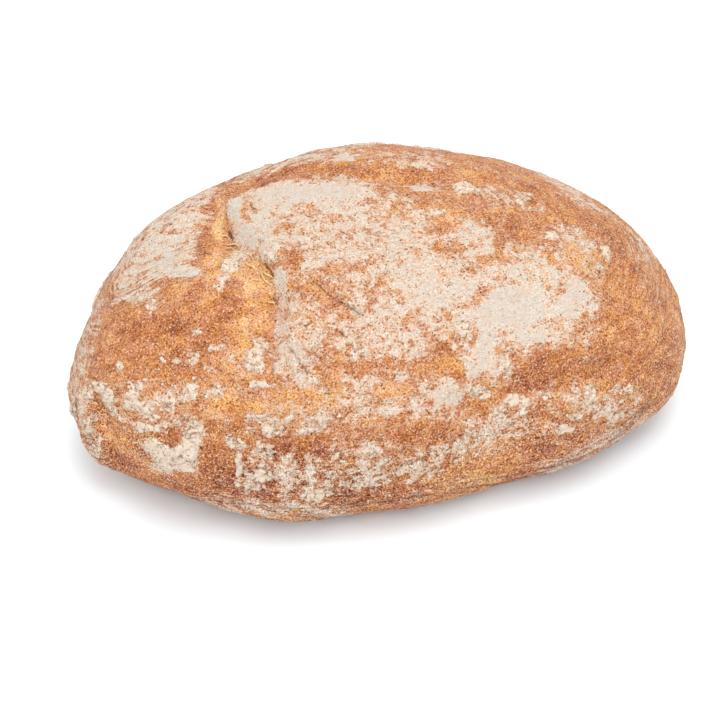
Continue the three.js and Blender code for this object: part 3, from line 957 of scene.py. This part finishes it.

        # Each crease's darkness becomes shade painted along its line, where the crust faces the camera.
        crease, painted_crease_shade = np.full(len(points), 60.0), np.zeros(len(points))
        for line in CREASES.values():
            distance, opened = line.read(pixels + 1.2 * wander)
            beyond = np.abs(distance) + 12 * np.maximum(np.abs(distance) - 2.5, 0) + 30 * (1 - opened)
            near = beyond < np.abs(crease)
            crease = np.where(near, np.sign(distance) * beyond, crease)
            painted_crease_shade = np.where(near, line.darkness * opened * ease(seen, 0.5, 1.0), painted_crease_shade)
        return {
            "caked": caked + 0.34 * lumps * ease(caked, 0.0, 0.3),
            "dust": np.maximum(dust, 0.7 * ease(caked, 0.1, 0.6)) + 0.22 * lumps + 0.10 * broad,
            "tone": tone + 0.10 * broad + 0.10 * lumps + 0.16 * rough(points, 5.5, 2, 24),
            "crease": crease,
            "painted_crease_shade": painted_crease_shade,
            "combed": np.maximum(0.35 + 0.5 * ease(30 - points[:, 2], 0, 18), covered(COMBED, pixels) * seen),
            "craggy": covered(CRAGGY, loose) * seen + 0.5 * (1 - seen) * ease(45 - points[:, 2], 0, 25),
            "lumps": lumps,
            "seen": seen,
        }

    def crags(self, points: np.ndarray, grain: np.ndarray) -> np.ndarray:
        """Crumpled skin: rounded ridges a few millimetres wide with narrow clefts, from about -0.5 to 0.5."""
        bent = points * 0.45 + grain * 0.55 + 1.2 * np.stack([rough(points, 5, 2, seed) for seed in (13, 14, 15)], 1)
        ridges = np.abs(rough(bent, 3.6, 2, 16))
        return np.clip(ridges * 2.4, 0, 1) - 0.5 + 0.25 * rough(points, 2.0, 2, 17)

    def fine_relief(self, points: np.ndarray, fields: dict[str, np.ndarray]) -> np.ndarray:
        """Relief finer than the solid's: pebbling, creases, and wrinkles along the rim and the shoulder."""
        coarse = ease(52 - points[:, 2], 0, 30)
        height = (0.20 + 0.16 * coarse) * fields["lumps"] + 0.30 * rough(points, 8, 2, 6)
        height += 0.44 * rough(points, 2.2, 2, 8) * (0.35 + 0.65 * coarse)
        height += 0.50 * fields["skin"] * fields["combed"] + 1.1 * fields["crags"]
        pixels = self.view.pixels(points)
        for line in CREASES.values():
            distance, opened = line.read(pixels)
            width = max(1.0, 2.0 / line.width)
            height -= line.depth * opened * np.exp(-(distance / width) ** 2) * fields["seen"]
        return height


# ---- finishes ----


def blank_finish(name: str) -> tuple[bpy.types.Material, bpy.types.NodeTree, bpy.types.Node]:
    """Starts a material.

    Args:
        name: the real material and how its surface was made.

    Returns:
        The material, its empty tree, and the node that gives places on the piece in mm.
    """
    material = bpy.data.materials.new(name)
    material.use_nodes = True
    tree = material.node_tree
    tree.nodes.clear()
    place = add_node(tree, "ShaderNodeTexCoord").outputs["Object"]
    return material, tree, add_node(tree, "ShaderNodeMapping", {"Vector": place, "Scale": (1 / MM,) * 3})


def lay_surface(tree: bpy.types.NodeTree, colour: bpy.types.Node, height: bpy.types.Node, relief_mm: float,
                roughness: float | bpy.types.Node, gloss: float) -> None:
    """Ends a material's tree.

    Args:
        tree: the tree.
        colour: gives the surface's colour.
        height: gives its finest relief.
        relief_mm: how high a relief of 1 stands.
        roughness: its roughness, or the node that gives it.
        gloss: its specular level.
    """
    bump = add_node(tree, "ShaderNodeBump", {"Strength": 1.0, "Distance": relief_mm * MM, "Height": height})
    surface = add_node(tree, "ShaderNodeBsdfPrincipled", {
        "Base Color": colour, "Roughness": roughness, "Normal": bump, "IOR": STARCH_IOR,
        "Specular IOR Level": gloss})
    add_node(tree, "ShaderNodeOutputMaterial", {"Surface": surface})


@dataclass(frozen=True)
class CrustFinish:
    """Oven-baked crust under dust of flour.

    A dry, matt skin whose golden brown breaks up into grains under a millimetre wide: pale blisters and dark pits.
    The dust lies between the grains, pinkish where it is thin and white where it is thick. Weights are for the
    coarse, the fine and the finest grains, in that order.
    """

    pale: str = "#e7c58c"
    gold: str = "#dca66c"
    brown: str = "#bd7a49"
    dark: str = "#8f4d29"
    burnt: str = "#6d3a20"
    blister: str = "#e3c2a4"
    thin_dust: str = "#d2a789"
    thick_dust: str = "#d6bfaa"
    film: str = "#cfc7bb"
    film_shade: str = "#c6a893"
    # gap: painted shade, laid along the creases.
    gap: str = "#70412a"
    pit: str = "#8d5536"
    coarse_mm: float = 2.4
    fine_mm: float = 0.75
    speck_mm: float = 0.46
    streak_mm: float = 1.3
    flake_mm: float = 4.2
    blush_mm: float = 5.0
    blister_mm: float = 0.95
    pit_mm: float = 1.25
    shade_by_grain: tuple[float, float, float] = (-0.95, -0.55, -0.40)
    flour_by_grain: tuple[float, float, float] = (1.60, 0.50, 0.22)
    grit_by_grain: tuple[float, float, float] = (0.0, 1.3, 1.1)
    relief_by_grain: tuple[float, float, float] = (1.5, 1.25, 1.0)
    flour_by_flake: float = 0.17
    relief_mm: float = 0.50
    golden: tuple[float, float, float, float] = (1.02, 1.0, 0.79, 1.0)
    rosy: tuple[float, float, float, float] = (0.98, 0.98, 1.30, 1.0)
    crust_roughness: float = 0.62
    flour_roughness: float = 0.95

    def material(self) -> bpy.types.Material:
        """Makes the crust's material."""
        material, tree, mm = blank_finish("baked_crust_under_flour")
        told = {name: add_node(tree, "ShaderNodeAttribute", attribute_name=name).outputs["Fac"]
                for name in ("tone", "dust", "combed", "crease", "painted_crease_shade", "gritty")}
        rolled = add_node(tree, "ShaderNodeAttribute", attribute_name="grain").outputs["Vector"]
        noises = {name: add_node(tree, "ShaderNodeTexNoise", {
            "Vector": where, "Scale": 1 / size, "Detail": detail, "Roughness": harshness, "Distortion": warp})
            for name, where, size, detail, harshness, warp in (
                ("coarse", mm, self.coarse_mm, 5.0, 0.70, 0.0), ("streak", rolled, self.streak_mm, 3.0, 0.62, 0.3),
                ("fine", mm, self.fine_mm, 3.0, 0.62, 0.0), ("speck", mm, self.speck_mm, 1.0, 0.5, 0.0),
                ("blush", mm, self.blush_mm, 3.0, 0.6, 0.5), ("flake", mm, self.flake_mm, 5.0, 0.66, 0.8))}
        cells = {name: add_node(tree, "ShaderNodeTexVoronoi", {"Vector": mm, "Scale": 1 / size})
                 for name, size in (("blister", self.blister_mm), ("pit", self.pit_mm))}
        streak = add_node(tree, "ShaderNodeMath", {0: noises["streak"], 1: 1.45, 2: -0.225}, operation="MULTIPLY_ADD")
        coarse = add_node(tree, "ShaderNodeMix", {0: told["combed"], 2: noises["coarse"], 3: streak})
        grains = add_node(tree, "ShaderNodeCombineXYZ", {0: coarse, 1: noises["fine"], 2: noises["speck"]})
        grains = add_node(tree, "ShaderNodeVectorMath", {0: grains, 1: (0.5, 0.5, 0.5)}, operation="SUBTRACT")
        shade, flour, grit, relief = (
            add_node(tree, "ShaderNodeVectorMath", {0: grains, 1: weights}, operation="DOT_PRODUCT")
            for weights in (self.shade_by_grain, self.flour_by_grain, self.grit_by_grain, self.relief_by_grain))

        worn = add_node(tree, "ShaderNodeMapRange", {0: flour, 1: 0.15, 2: -0.45, 3: 0.0, 4: 0.9})

        shade = add_node(tree, "ShaderNodeMath", {0: shade, 1: told["tone"]}, operation="ADD")
        baked = add_node(tree, "ShaderNodeValToRGB", {0: shade})
        stops = [(0.0, self.pale), (0.24, self.gold), (0.52, self.brown), (0.84, self.dark), (1.0, self.burnt)]
        while len(baked.color_ramp.elements) < len(stops):
            baked.color_ramp.elements.new(0.5)
        for element, (position, colour) in zip(baked.color_ramp.elements, stops, strict=True):
            element.position, element.color = position, linear(colour)
        blush = add_node(tree, "ShaderNodeMapRange", {0: noises["blush"], 1: 0.34, 2: 0.66},
                         interpolation_type="SMOOTHSTEP")
        blush = add_node(tree, "ShaderNodeMix", {0: blush, 6: self.golden, 7: self.rosy}, data_type="RGBA")
        baked = add_node(tree, "ShaderNodeVectorMath", {0: baked, 1: blush}, operation="MULTIPLY")

        flakes = add_node(tree, "ShaderNodeMapRange", {
            0: noises["flake"], 1: 0.40, 2: 0.60, 3: -self.flour_by_flake, 4: self.flour_by_flake},
            interpolation_type="SMOOTHSTEP")
        floury = add_node(tree, "ShaderNodeMapRange", {0: told["dust"], 1: 0.30, 2: 0.60})
        flour = add_node(tree, "ShaderNodeMath", {0: flakes, 1: floury, 2: flour}, operation="MULTIPLY_ADD")
        flour = add_node(tree, "ShaderNodeMath", {0: flour, 1: told["dust"]}, operation="ADD")
        opening = add_node(tree, "ShaderNodeMath", {0: told["crease"]}, operation="ABSOLUTE")
        hollow = add_node(tree, "ShaderNodeMath", {0: noises["fine"], 1: -1.2, 2: 0.6}, operation="MULTIPLY_ADD")
        hollow = add_node(tree, "ShaderNodeMath", {0: hollow, 1: cells["pit"]}, operation="SUBTRACT")
        bubble = add_node(tree, "ShaderNodeMath", {0: noises["fine"], 1: 1.35, 2: -0.68}, operation="MULTIPLY_ADD")
        bubble = add_node(tree, "ShaderNodeMath", {0: bubble, 1: cells["blister"]}, operation="SUBTRACT")
        thin, thick, opaque, clear, blister, pit, gap = (
            add_node(tree, "ShaderNodeMapRange", {0: value, 1: low, 2: high, 3: start, 4: end},
                     interpolation_type="SMOOTHSTEP")
            for value, low, high, start, end in (
                (flour, 0.28, 0.86, 0.0, 0.93), (flour, 0.50, 0.95, 0.0, 1.0), (flour, 0.84, 1.20, 0.0, 1.0),
                (flour, 0.70, 1.10, 0.7, 0.12), (bubble, -0.34, -0.14, 0.0, 0.62), (hollow, -0.26, -0.08, 0.0, 1.0),
                (opening, 0.3, 1.5, 0.85, 0.0)))
        pit = add_node(tree, "ShaderNodeMath", {0: pit, 1: clear}, operation="MULTIPLY")
        # Painted shade in the open middle of each crease.
        gap = add_node(tree, "ShaderNodeMath", {0: gap, 1: told["painted_crease_shade"]}, operation="MULTIPLY")

        dust = add_node(tree, "ShaderNodeMix", {
            0: thick, 6: linear(self.thin_dust), 7: linear(self.thick_dust)}, data_type="RGBA")
        film = add_node(tree, "ShaderNodeMix", {
            0: worn, 6: linear(self.film), 7: linear(self.film_shade)}, data_type="RGBA")
        dust = add_node(tree, "ShaderNodeMix", {0: opaque, 6: dust, 7: film}, data_type="RGBA")
        colour = baked
        for cover, laid in ((blister, linear(self.blister)), (thin, dust), (pit, linear(self.pit)),
                            (gap, linear(self.gap))):
            colour = add_node(tree, "ShaderNodeMix", {0: cover, 6: colour, 7: laid}, data_type="RGBA")
        grit = add_node(tree, "ShaderNodeMath", {0: grit, 1: told["gritty"]}, operation="MULTIPLY")
        scaled = add_node(tree, "ShaderNodeMath", {0: grit, 1: 0.50, 2: 1.0}, operation="MULTIPLY_ADD")
        raised = add_node(tree, "ShaderNodeMath", {0: grit, 1: 0.09}, operation="MULTIPLY")
        colour = add_node(tree, "ShaderNodeVectorMath", {0: colour, 1: scaled, 2: raised}, operation="MULTIPLY_ADD")
        for cover, rise in ((thin, 0.3), (blister, 0.3), (pit, -1.0), (gap, -1.4)):
            relief = add_node(tree, "ShaderNodeMath", {0: cover, 1: rise, 2: relief}, operation="MULTIPLY_ADD")
        dull = add_node(tree, "ShaderNodeMapRange", {0: thin, 3: self.crust_roughness, 4: self.flour_roughness})
        lay_surface(tree, colour, relief, self.relief_mm, dull, 0.3)
        return material


@dataclass(frozen=True)
class CakedFlour:
    """Flour baked on as a cake: chalky and opaque, with fine dark cracks, shade painted towards the edges of its lobes
    and into the clefts between them, thinner and pinker at its edges.

    Weights are for the shell's own field or the lobes, the fine grains and the specks, in that order.
    """

    pale: str = "#e3d2c0"
    shaded: str = "#dcbfa3"
    edge: str = "#d0a482"
    crack_and_cleft_shade: str = "#a06c48"
    fine_mm: float = 0.7
    speck_mm: float = 0.36
    lobe_mm: float = 1.5
    crack_mm: float = 3.0
    shade_by_grain: tuple[float, float, float] = (-0.7, 2.2, 2.2)
    wear_by_grain: tuple[float, float, float] = (1.0, 1.1, 0.75)
    cleft_shade_by_grain: tuple[float, float, float] = (1.0, 1.5, 1.5)
    relief_by_grain: tuple[float, float, float] = (-0.95, 1.3, 1.0)
    relief_mm: float = 0.55

    def material(self) -> bpy.types.Material:
        """Makes the caked flour's material."""
        material, tree, mm = blank_finish("caked_flour")
        fine, speck = (add_node(tree, "ShaderNodeTexNoise", {"Vector": mm, "Scale": 1 / size, "Detail": detail})
                       for size, detail in ((self.fine_mm, 3.0), (self.speck_mm, 1.0)))
        lobes = add_node(tree, "ShaderNodeTexVoronoi", {"Vector": mm, "Scale": 1 / self.lobe_mm})
        bend = add_node(tree, "ShaderNodeTexNoise", {"Vector": mm, "Scale": 1 / self.lobe_mm, "Detail": 2.0})
        bent = add_node(tree, "ShaderNodeVectorMath", {0: bend.outputs["Color"], 1: (1.6, 1.6, 1.6), 2: mm},
                        operation="MULTIPLY_ADD")
        seam = add_node(tree, "ShaderNodeTexVoronoi", {"Vector": bent, "Scale": 1 / self.crack_mm},
                        feature="DISTANCE_TO_EDGE")
        seam = add_node(tree, "ShaderNodeMapRange", {0: seam, 1: 0.015, 2: 0.075, 3: 1.0, 4: 0.0})
        broken = add_node(tree, "ShaderNodeMapRange", {0: bend, 1: 0.48, 2: 0.64})
        seam = add_node(tree, "ShaderNodeMath", {0: seam, 1: broken}, operation="MULTIPLY")
        body, cover, cleft_shade, relief = (
            add_node(tree, "ShaderNodeVectorMath", {
                0: add_node(tree, "ShaderNodeVectorMath", {
                    0: add_node(tree, "ShaderNodeCombineXYZ", {0: own, 1: fine, 2: speck}), 1: (0.0, 0.5, 0.5)},
                    operation="SUBTRACT"), 1: weights}, operation="DOT_PRODUCT")
            for own, weights in (
                (lobes, self.shade_by_grain),
                (add_node(tree, "ShaderNodeAttribute", attribute_name="cover").outputs["Fac"], self.wear_by_grain),
                (add_node(tree, "ShaderNodeAttribute", attribute_name="cleft_shade").outputs["Fac"],
                 self.cleft_shade_by_grain),
                (lobes, self.relief_by_grain)))
        # Painted shade: the shaded colour darkens each lobe towards its edge.
        colour = add_node(tree, "ShaderNodeMix", {
            0: add_node(tree, "ShaderNodeMapRange", {0: body, 1: -1.05, 2: -0.15}, interpolation_type="SMOOTHSTEP"),
            6: linear(self.shaded), 7: linear(self.pale)}, data_type="RGBA")
        # The edge colour is thinner flour; the dark colour in the clefts between lobes is painted shade.
        for value, low, high, start, end, laid in ((cover, 0.20, 0.62, 1.0, 0.0, self.edge),
                                                   (cleft_shade, 0.60, 1.05, 0.0, 0.85, self.crack_and_cleft_shade)):
            part = add_node(tree, "ShaderNodeMapRange", {0: value, 1: low, 2: high, 3: start, 4: end},
                            interpolation_type="SMOOTHSTEP")
            colour = add_node(tree, "ShaderNodeMix", {0: part, 6: colour, 7: linear(laid)}, data_type="RGBA")
        # Fine seams: cracks in the cake, in the same dark colour.
        colour = add_node(tree, "ShaderNodeMix", {0: seam, 6: colour, 7: linear(self.crack_and_cleft_shade)}, data_type="RGBA")
        relief = add_node(tree, "ShaderNodeMath", {0: seam, 1: -0.6, 2: relief}, operation="MULTIPLY_ADD")
        lay_surface(tree, colour, relief, self.relief_mm, 0.95, 0.15)
        return material


@dataclass(frozen=True)
class DryFlour:
    """Loose rye and wheat flour: clotted, chalky grains with no gloss."""

    name: str = "dry_flour"
    pale: str = "#e2d4c2"
    shaded: str = "#c8ae96"
    grain_mm: float = 0.5
    roughness: float = 0.95
    gloss: float = 0.15

    def material(self) -> bpy.types.Material:
        """Makes the material."""
        material, tree, mm = blank_finish(self.name)
        grain = add_node(tree, "ShaderNodeTexNoise", {"Vector": mm, "Scale": 1 / self.grain_mm, "Detail": 2.0})
        share = add_node(tree, "ShaderNodeMapRange", {0: grain, 1: 0.3, 2: 0.7})
        colour = add_node(tree, "ShaderNodeMix", {
            0: share, 6: linear(self.shaded), 7: linear(self.pale)}, data_type="RGBA")
        lay_surface(tree, colour, grain, 0.4, self.roughness, self.gloss)
        return material


@dataclass(frozen=True)
class TornDough(DryFlour):
    """Dough stretched thin in the oven: dry, pale gold threads, a little glossy where the gluten set."""

    name: str = "torn_dough"
    pale: str = "#e2cfa2"
    shaded: str = "#c8995c"
    grain_mm: float = 0.7
    roughness: float = 0.6
    gloss: float = 0.3


# ---- what lies on the crust ----


@dataclass
class FlourCakes:
    """Flour caked on the crust: a fine shell that stands out of it wherever the flour is thick."""

    lobe: float = 2.1
    thickness: float = 0.95
    sink: float = 0.30
    least: float = 0.22

    def shell(self, ground: bpy.types.Mesh) -> tuple[np.ndarray, np.ndarray, np.ndarray, np.ndarray]:
        """The ground under the flour, in quarters of its quads: points, ways out, amounts of flour, and quads."""
        count = len(ground.vertices)
        places, ways, amounts = np.empty(count * 3), np.empty(count * 3), np.empty(count)
        ground.vertices.foreach_get("co", places)
        ground.vertex_normals.foreach_get("vector", ways)
        ground.attributes["caked"].data.foreach_get("value", amounts)
        corners = np.empty(len(ground.polygons) * 4, int)
        ground.polygons.foreach_get("vertices", corners)
        corners = corners.reshape(-1, 4)
        corners = corners[amounts[corners].max(axis=1) > self.least]
        known = np.column_stack([places.reshape(-1, 3) / MM, ways.reshape(-1, 3), amounts])
        share = np.array([(u, v) for u in (0, 0.5, 1) for v in (0, 0.5, 1)])
        u, v = share.T[:, :, None, None]
        a, b, c, d = (known[corners[:, i]][None] for i in range(4))
        fine = ((1 - u) * (1 - v) * a + u * (1 - v) * b + u * v * c + (1 - u) * v * d).transpose(1, 0, 2)
        fine = fine.reshape(-1, known.shape[1])
        _, first, where = np.unique(np.round(fine[:, :3], 4), axis=0, return_index=True, return_inverse=True)
        where = where.ravel().reshape(-1, 9)
        small = [(0, 3, 4, 1), (3, 6, 7, 4), (4, 7, 8, 5), (1, 4, 5, 2)]
        quads = np.concatenate([where[:, list(corner)] for corner in small])
        fine = fine[first]
        ways = fine[:, 3:6] / np.linalg.norm(fine[:, 3:6], axis=1, keepdims=True)
        return fine[:, :3], ways, fine[:, 6], quads

    def build(self, ground: bpy.types.Object, finish: CakedFlour) -> bpy.types.Object:
        """Lays the cakes on the ground and returns them as one mesh."""
        places, ways, amount, quads = self.shell(ground.data)
        bent = places + 0.9 * np.stack([rough(places, 2.6, 2, seed) for seed in (31, 32, 33)], axis=1)
        spans = [noise.voronoi(place)[0] for place in (bent / self.lobe).tolist()]
        cleft = 1 - ease(np.array([span[1] - span[0] for span in spans]), 0.0, 0.22)
        crumb = rough(places, 1.8, 3, 21)
        cleft *= ease(rough(places, 5, 1, 22), -0.35, 0.25)
        field_ = amount + 0.56 * crumb - 0.22 * cleft
        cover = ease(field_, 0.56, 0.70)
        height = self.thickness * (0.5 + 0.5 * ease(field_, 0.7, 1.2)) * (1 - 0.35 * cleft) + 0.14 * crumb
        lifted = places + ways * (-self.sink + cover * (self.sink + height))[:, None]
        keep = cover[quads].max(axis=1) > 0.0
        used, quads = np.unique(quads[keep], return_inverse=True)
        quads = quads.reshape(-1, 4)
        mesh = bpy.data.meshes.new("caked_flour")
        mesh.from_pydata((lifted[used] * MM).tolist(), [], quads.tolist())
        # The clefts are kept for the finish, which paints shade into them.
        for name, values in (("cover", cover), ("cleft_shade", cleft)):
            mesh.attributes.new(name, "FLOAT", "POINT").data.foreach_set("value", values[used].astype(np.float32))
        mesh.shade_smooth()
        mesh.materials.append(finish.material())
        cakes = bpy.data.objects.new("caked_flour", mesh)
        bpy.context.scene.collection.objects.link(cakes)
        return cakes


@dataclass
class FlourClumps:
    """Small clots of flour, scattered over the crust where the flour is caked."""

    grain: float = 0.55
    spacing: float = 1.5
    density: float = 26000.0
    seed: int = 11

    def tree(self, material: bpy.types.Material) -> bpy.types.NodeTree:
        """Builds the scattering tree.

        Args:
            material: what the clumps are made of.

        Returns:
            A tree with inputs for the ground, the clump's size, the spacing, the density and the seed.
        """
        tree = bpy.data.node_groups.new("scatter_flour_clumps", "GeometryNodeTree")
        for name, kind in (("Ground", "NodeSocketGeometry"), ("Clump size", "NodeSocketFloat"),
                           ("Spacing", "NodeSocketFloat"), ("Density", "NodeSocketFloat"),
                           ("Seed", "NodeSocketInt")):
            tree.interface.new_socket(name, in_out="INPUT", socket_type=kind)
        tree.interface.new_socket("Clumps", in_out="OUTPUT", socket_type="NodeSocketGeometry")
        asked = add_node(tree, "NodeGroupInput").outputs
        likely = add_node(tree, "GeometryNodeInputNamedAttribute", {"Name": "clump"}, data_type="FLOAT").outputs[0]
        spots = add_node(tree, "GeometryNodeDistributePointsOnFaces", {
            "Mesh": asked["Ground"], "Distance Min": asked["Spacing"], "Density Max": asked["Density"],
            "Density Factor": likely, "Seed": asked["Seed"]}, distribute_method="POISSON")
        ball = add_node(tree, "GeometryNodeMeshIcoSphere", {"Radius": 1.0, "Subdivisions": 2}).outputs[0]
        place = add_node(tree, "GeometryNodeInputPosition").outputs[0]
        dents = add_node(tree, "ShaderNodeTexNoise", {"Vector": place, "Scale": 1.6, "Detail": 1.0}).outputs["Color"]
        dents = add_node(tree, "ShaderNodeVectorMath", {0: dents, 1: (0.5, 0.5, 0.5)}, operation="SUBTRACT").outputs[0]
        dents = add_node(tree, "ShaderNodeVectorMath", {0: dents, 1: (1.6, 1.6, 0.9)}, operation="MULTIPLY").outputs[0]
        clot = add_node(tree, "GeometryNodeSetPosition", {"Geometry": ball, "Offset": dents}).outputs[0]
        size = add_node(tree, "FunctionNodeRandomValue", {2: 0.35, 3: 1.25, "Seed": asked["Seed"]},
                        data_type="FLOAT").outputs[1]
        size = add_node(tree, "ShaderNodeMath", {0: size, 1: asked["Clump size"]}, operation="MULTIPLY").outputs[0]
        spin = add_node(tree, "FunctionNodeRandomValue", {0: (0.0, 0.0, 0.0), 1: (6.28, 6.28, 6.28)},
                        data_type="FLOAT_VECTOR").outputs[0]
        clots = add_node(tree, "GeometryNodeInstanceOnPoints", {
            "Points": spots.outputs["Points"], "Instance": clot, "Rotation": spin, "Scale": size}).outputs[0]
        real = add_node(tree, "GeometryNodeRealizeInstances", {0: clots}).outputs[0]
        dressed = add_node(tree, "GeometryNodeSetMaterial", {"Geometry": real, "Material": material}).outputs[0]
        add_node(tree, "NodeGroupOutput", {0: dressed})
        return tree

    def build(self, ground: bpy.types.Object, flour: DryFlour) -> bpy.types.Object:
        """Scatters the clumps on the ground and returns them as one plain mesh."""
        tree = self.tree(flour.material())
        sizes = {"Clump size": self.grain * MM, "Spacing": self.spacing * MM, "Density": self.density,
                 "Seed": self.seed}
        sower = bpy.data.objects.new("flour_sower", ground.data)
        bpy.context.scene.collection.objects.link(sower)
        modifier = sower.modifiers.new("scatter", "NODES")
        modifier.node_group = tree
        for socket in tree.interface.items_tree:
            if socket.in_out == "INPUT" and socket.name in sizes:
                modifier[socket.identifier] = sizes[socket.name]
        whole = sower.evaluated_get(bpy.context.evaluated_depsgraph_get())
        mesh = bpy.data.meshes.new_from_object(whole)
        bpy.data.objects.remove(sower)
        mesh.name = "flour_clumps"
        clumps = bpy.data.objects.new("flour_clumps", mesh)
        bpy.context.scene.collection.objects.link(clumps)
        return clumps


@dataclass
class TornStrands:
    """Threads of dough that still cross the tear, each from one pixel of the photograph to another."""

    spans: tuple[tuple[float, float, float, float], ...] = (
        (227, 244, 241, 247), (226, 248, 236, 251), (229, 252, 240, 256), (255, 268, 273, 287),
        (262, 268, 272, 279), (244, 262, 256, 271), (268, 300, 276, 307), (222, 236, 230, 239),
        (247, 254, 257, 262), (250, 282, 262, 279),
    )
    thickness: float = 0.42
    lift: float = 0.35
    rings: int = 9
    sides: int = 7

    def build(self, ground: bpy.types.Object, view: PhotoView, dough: TornDough) -> bpy.types.Object:
        """Lays the strands on the ground and returns them as one mesh.

        Args:
            ground: the crust they lie on.
            view: the photograph's view, which places their pixels.
            dough: their finish.

        Returns:
            The strands' object.
        """
        tree = BVHTree.FromPolygons([v.co / MM for v in ground.data.vertices],
                                    [tuple(p.vertices) for p in ground.data.polygons])
        points, faces = [], []
        for number, (x0, y0, x1, y1) in enumerate(self.spans):
            start = tree.ray_cast(*view.ray(x0, y0))
            end = tree.ray_cast(*view.ray(x1, y1))
            along = (end[0] - start[0]).normalized()
            up = (start[1] + end[1]).normalized()
            across = along.cross(up).normalized()
            first = len(points)
            for ring in range(self.rings):
                t = ring / (self.rings - 1)
                belly = math.sin(math.pi * t)
                centre = start[0].lerp(end[0], t) + up * (self.lift * belly * 2 - 0.15)
                centre += across * 0.5 * math.sin(2.4 * math.pi * t + number)
                radius = self.thickness * (0.45 + 0.55 * belly) * (0.8 + 0.3 * math.sin(5 * t + number))
                for side in range(self.sides):
                    angle = 2 * math.pi * side / self.sides
                    points.append(centre + (across * math.cos(angle) + up * 0.7 * math.sin(angle)) * radius)
            for ring in range(self.rings - 1):
                for side in range(self.sides):
                    a, b = first + ring * self.sides + side, first + ring * self.sides + (side + 1) % self.sides
                    faces.append((a, b, b + self.sides, a + self.sides))
            last = first + (self.rings - 1) * self.sides
            faces.append(tuple(range(first + self.sides - 1, first - 1, -1)))
            faces.append(tuple(range(last, last + self.sides)))
        mesh = bpy.data.meshes.new("torn_strands")
        mesh.from_pydata([point * MM for point in points], [], faces)
        mesh.shade_smooth()
        mesh.materials.append(dough.material())
        strands = bpy.data.objects.new("torn_strands", mesh)
        bpy.context.scene.collection.objects.link(strands)
        return strands


# ---- the studio ----


@dataclass
class Studio:
    """A plain white floor under soft, high light."""

    floor_side: float = 6.0
    floor_colour: str = "#f0f6fb"
    sky: float = 1.0
    key_power: float = 10.3
    key_size: float = 1.0
    key_place: tuple[float, float, float] = (0.08, -0.09, 1.3)
    fill_power: float = 6.2
    fill_size: float = 1.8
    fill_place: tuple[float, float, float] = (-0.4, -1.0, 0.6)

    def build(self) -> None:
        """Makes the floor, the sky and the lights."""
        half = self.floor_side / 2
        mesh = bpy.data.meshes.new("floor")
        mesh.from_pydata([(-half, -half, 0), (half, -half, 0), (half, half, 0), (-half, half, 0)], [], [(0, 1, 2, 3)])
        floor = bpy.data.objects.new("floor", mesh)
        bpy.context.scene.collection.objects.link(floor)
        paper = bpy.data.materials.new("white_paper")
        paper.use_nodes = True
        skin = paper.node_tree.nodes["Principled BSDF"]
        skin.inputs["Base Color"].default_value = linear(self.floor_colour)
        skin.inputs["Roughness"].default_value = 0.9
        skin.inputs["Specular IOR Level"].default_value = 0.0
        mesh.materials.append(paper)
        world = bpy.data.worlds.new("studio")
        world.use_nodes = True
        world.node_tree.nodes["Background"].inputs["Color"].default_value = (1.0, 1.0, 1.0, 1.0)
        world.node_tree.nodes["Background"].inputs["Strength"].default_value = self.sky
        bpy.context.scene.world = world
        bpy.context.scene.view_settings.view_transform = "Standard"
        for name, power, size, place in (("key", self.key_power, self.key_size, self.key_place),
                                         ("fill", self.fill_power, self.fill_size, self.fill_place)):
            lamp = bpy.data.lights.new(name, "AREA")
            lamp.energy, lamp.size = power, size
            holder = bpy.data.objects.new(name, lamp)
            holder.location = place
            holder.rotation_euler = Vector(place).to_track_quat("Z", "Y").to_euler()
            bpy.context.scene.collection.objects.link(holder)


def settle(piece: bpy.types.Object) -> None:
    """Gives a finished piece its body, and reports it."""
    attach(piece, BODY)
    log.info("%s: %d faces", piece.name, len(piece.data.polygons))


def main() -> None:
    """Builds the loaf and its studio."""
    logging.basicConfig(level=logging.INFO, format="%(name)s: %(message)s")
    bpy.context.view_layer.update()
    view = PhotoView()
    view.place_camera()
    Studio().build()
    crust = Crust(view=view).build(CrustFinish())
    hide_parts(LOAF_NODE)
    settle(crust)
    settle(FlourCakes().build(crust, CakedFlour()))
    settle(FlourClumps().build(crust, DryFlour()))
    settle(TornStrands().build(crust, view, TornDough()))


if __name__ == "__main__":
    main()
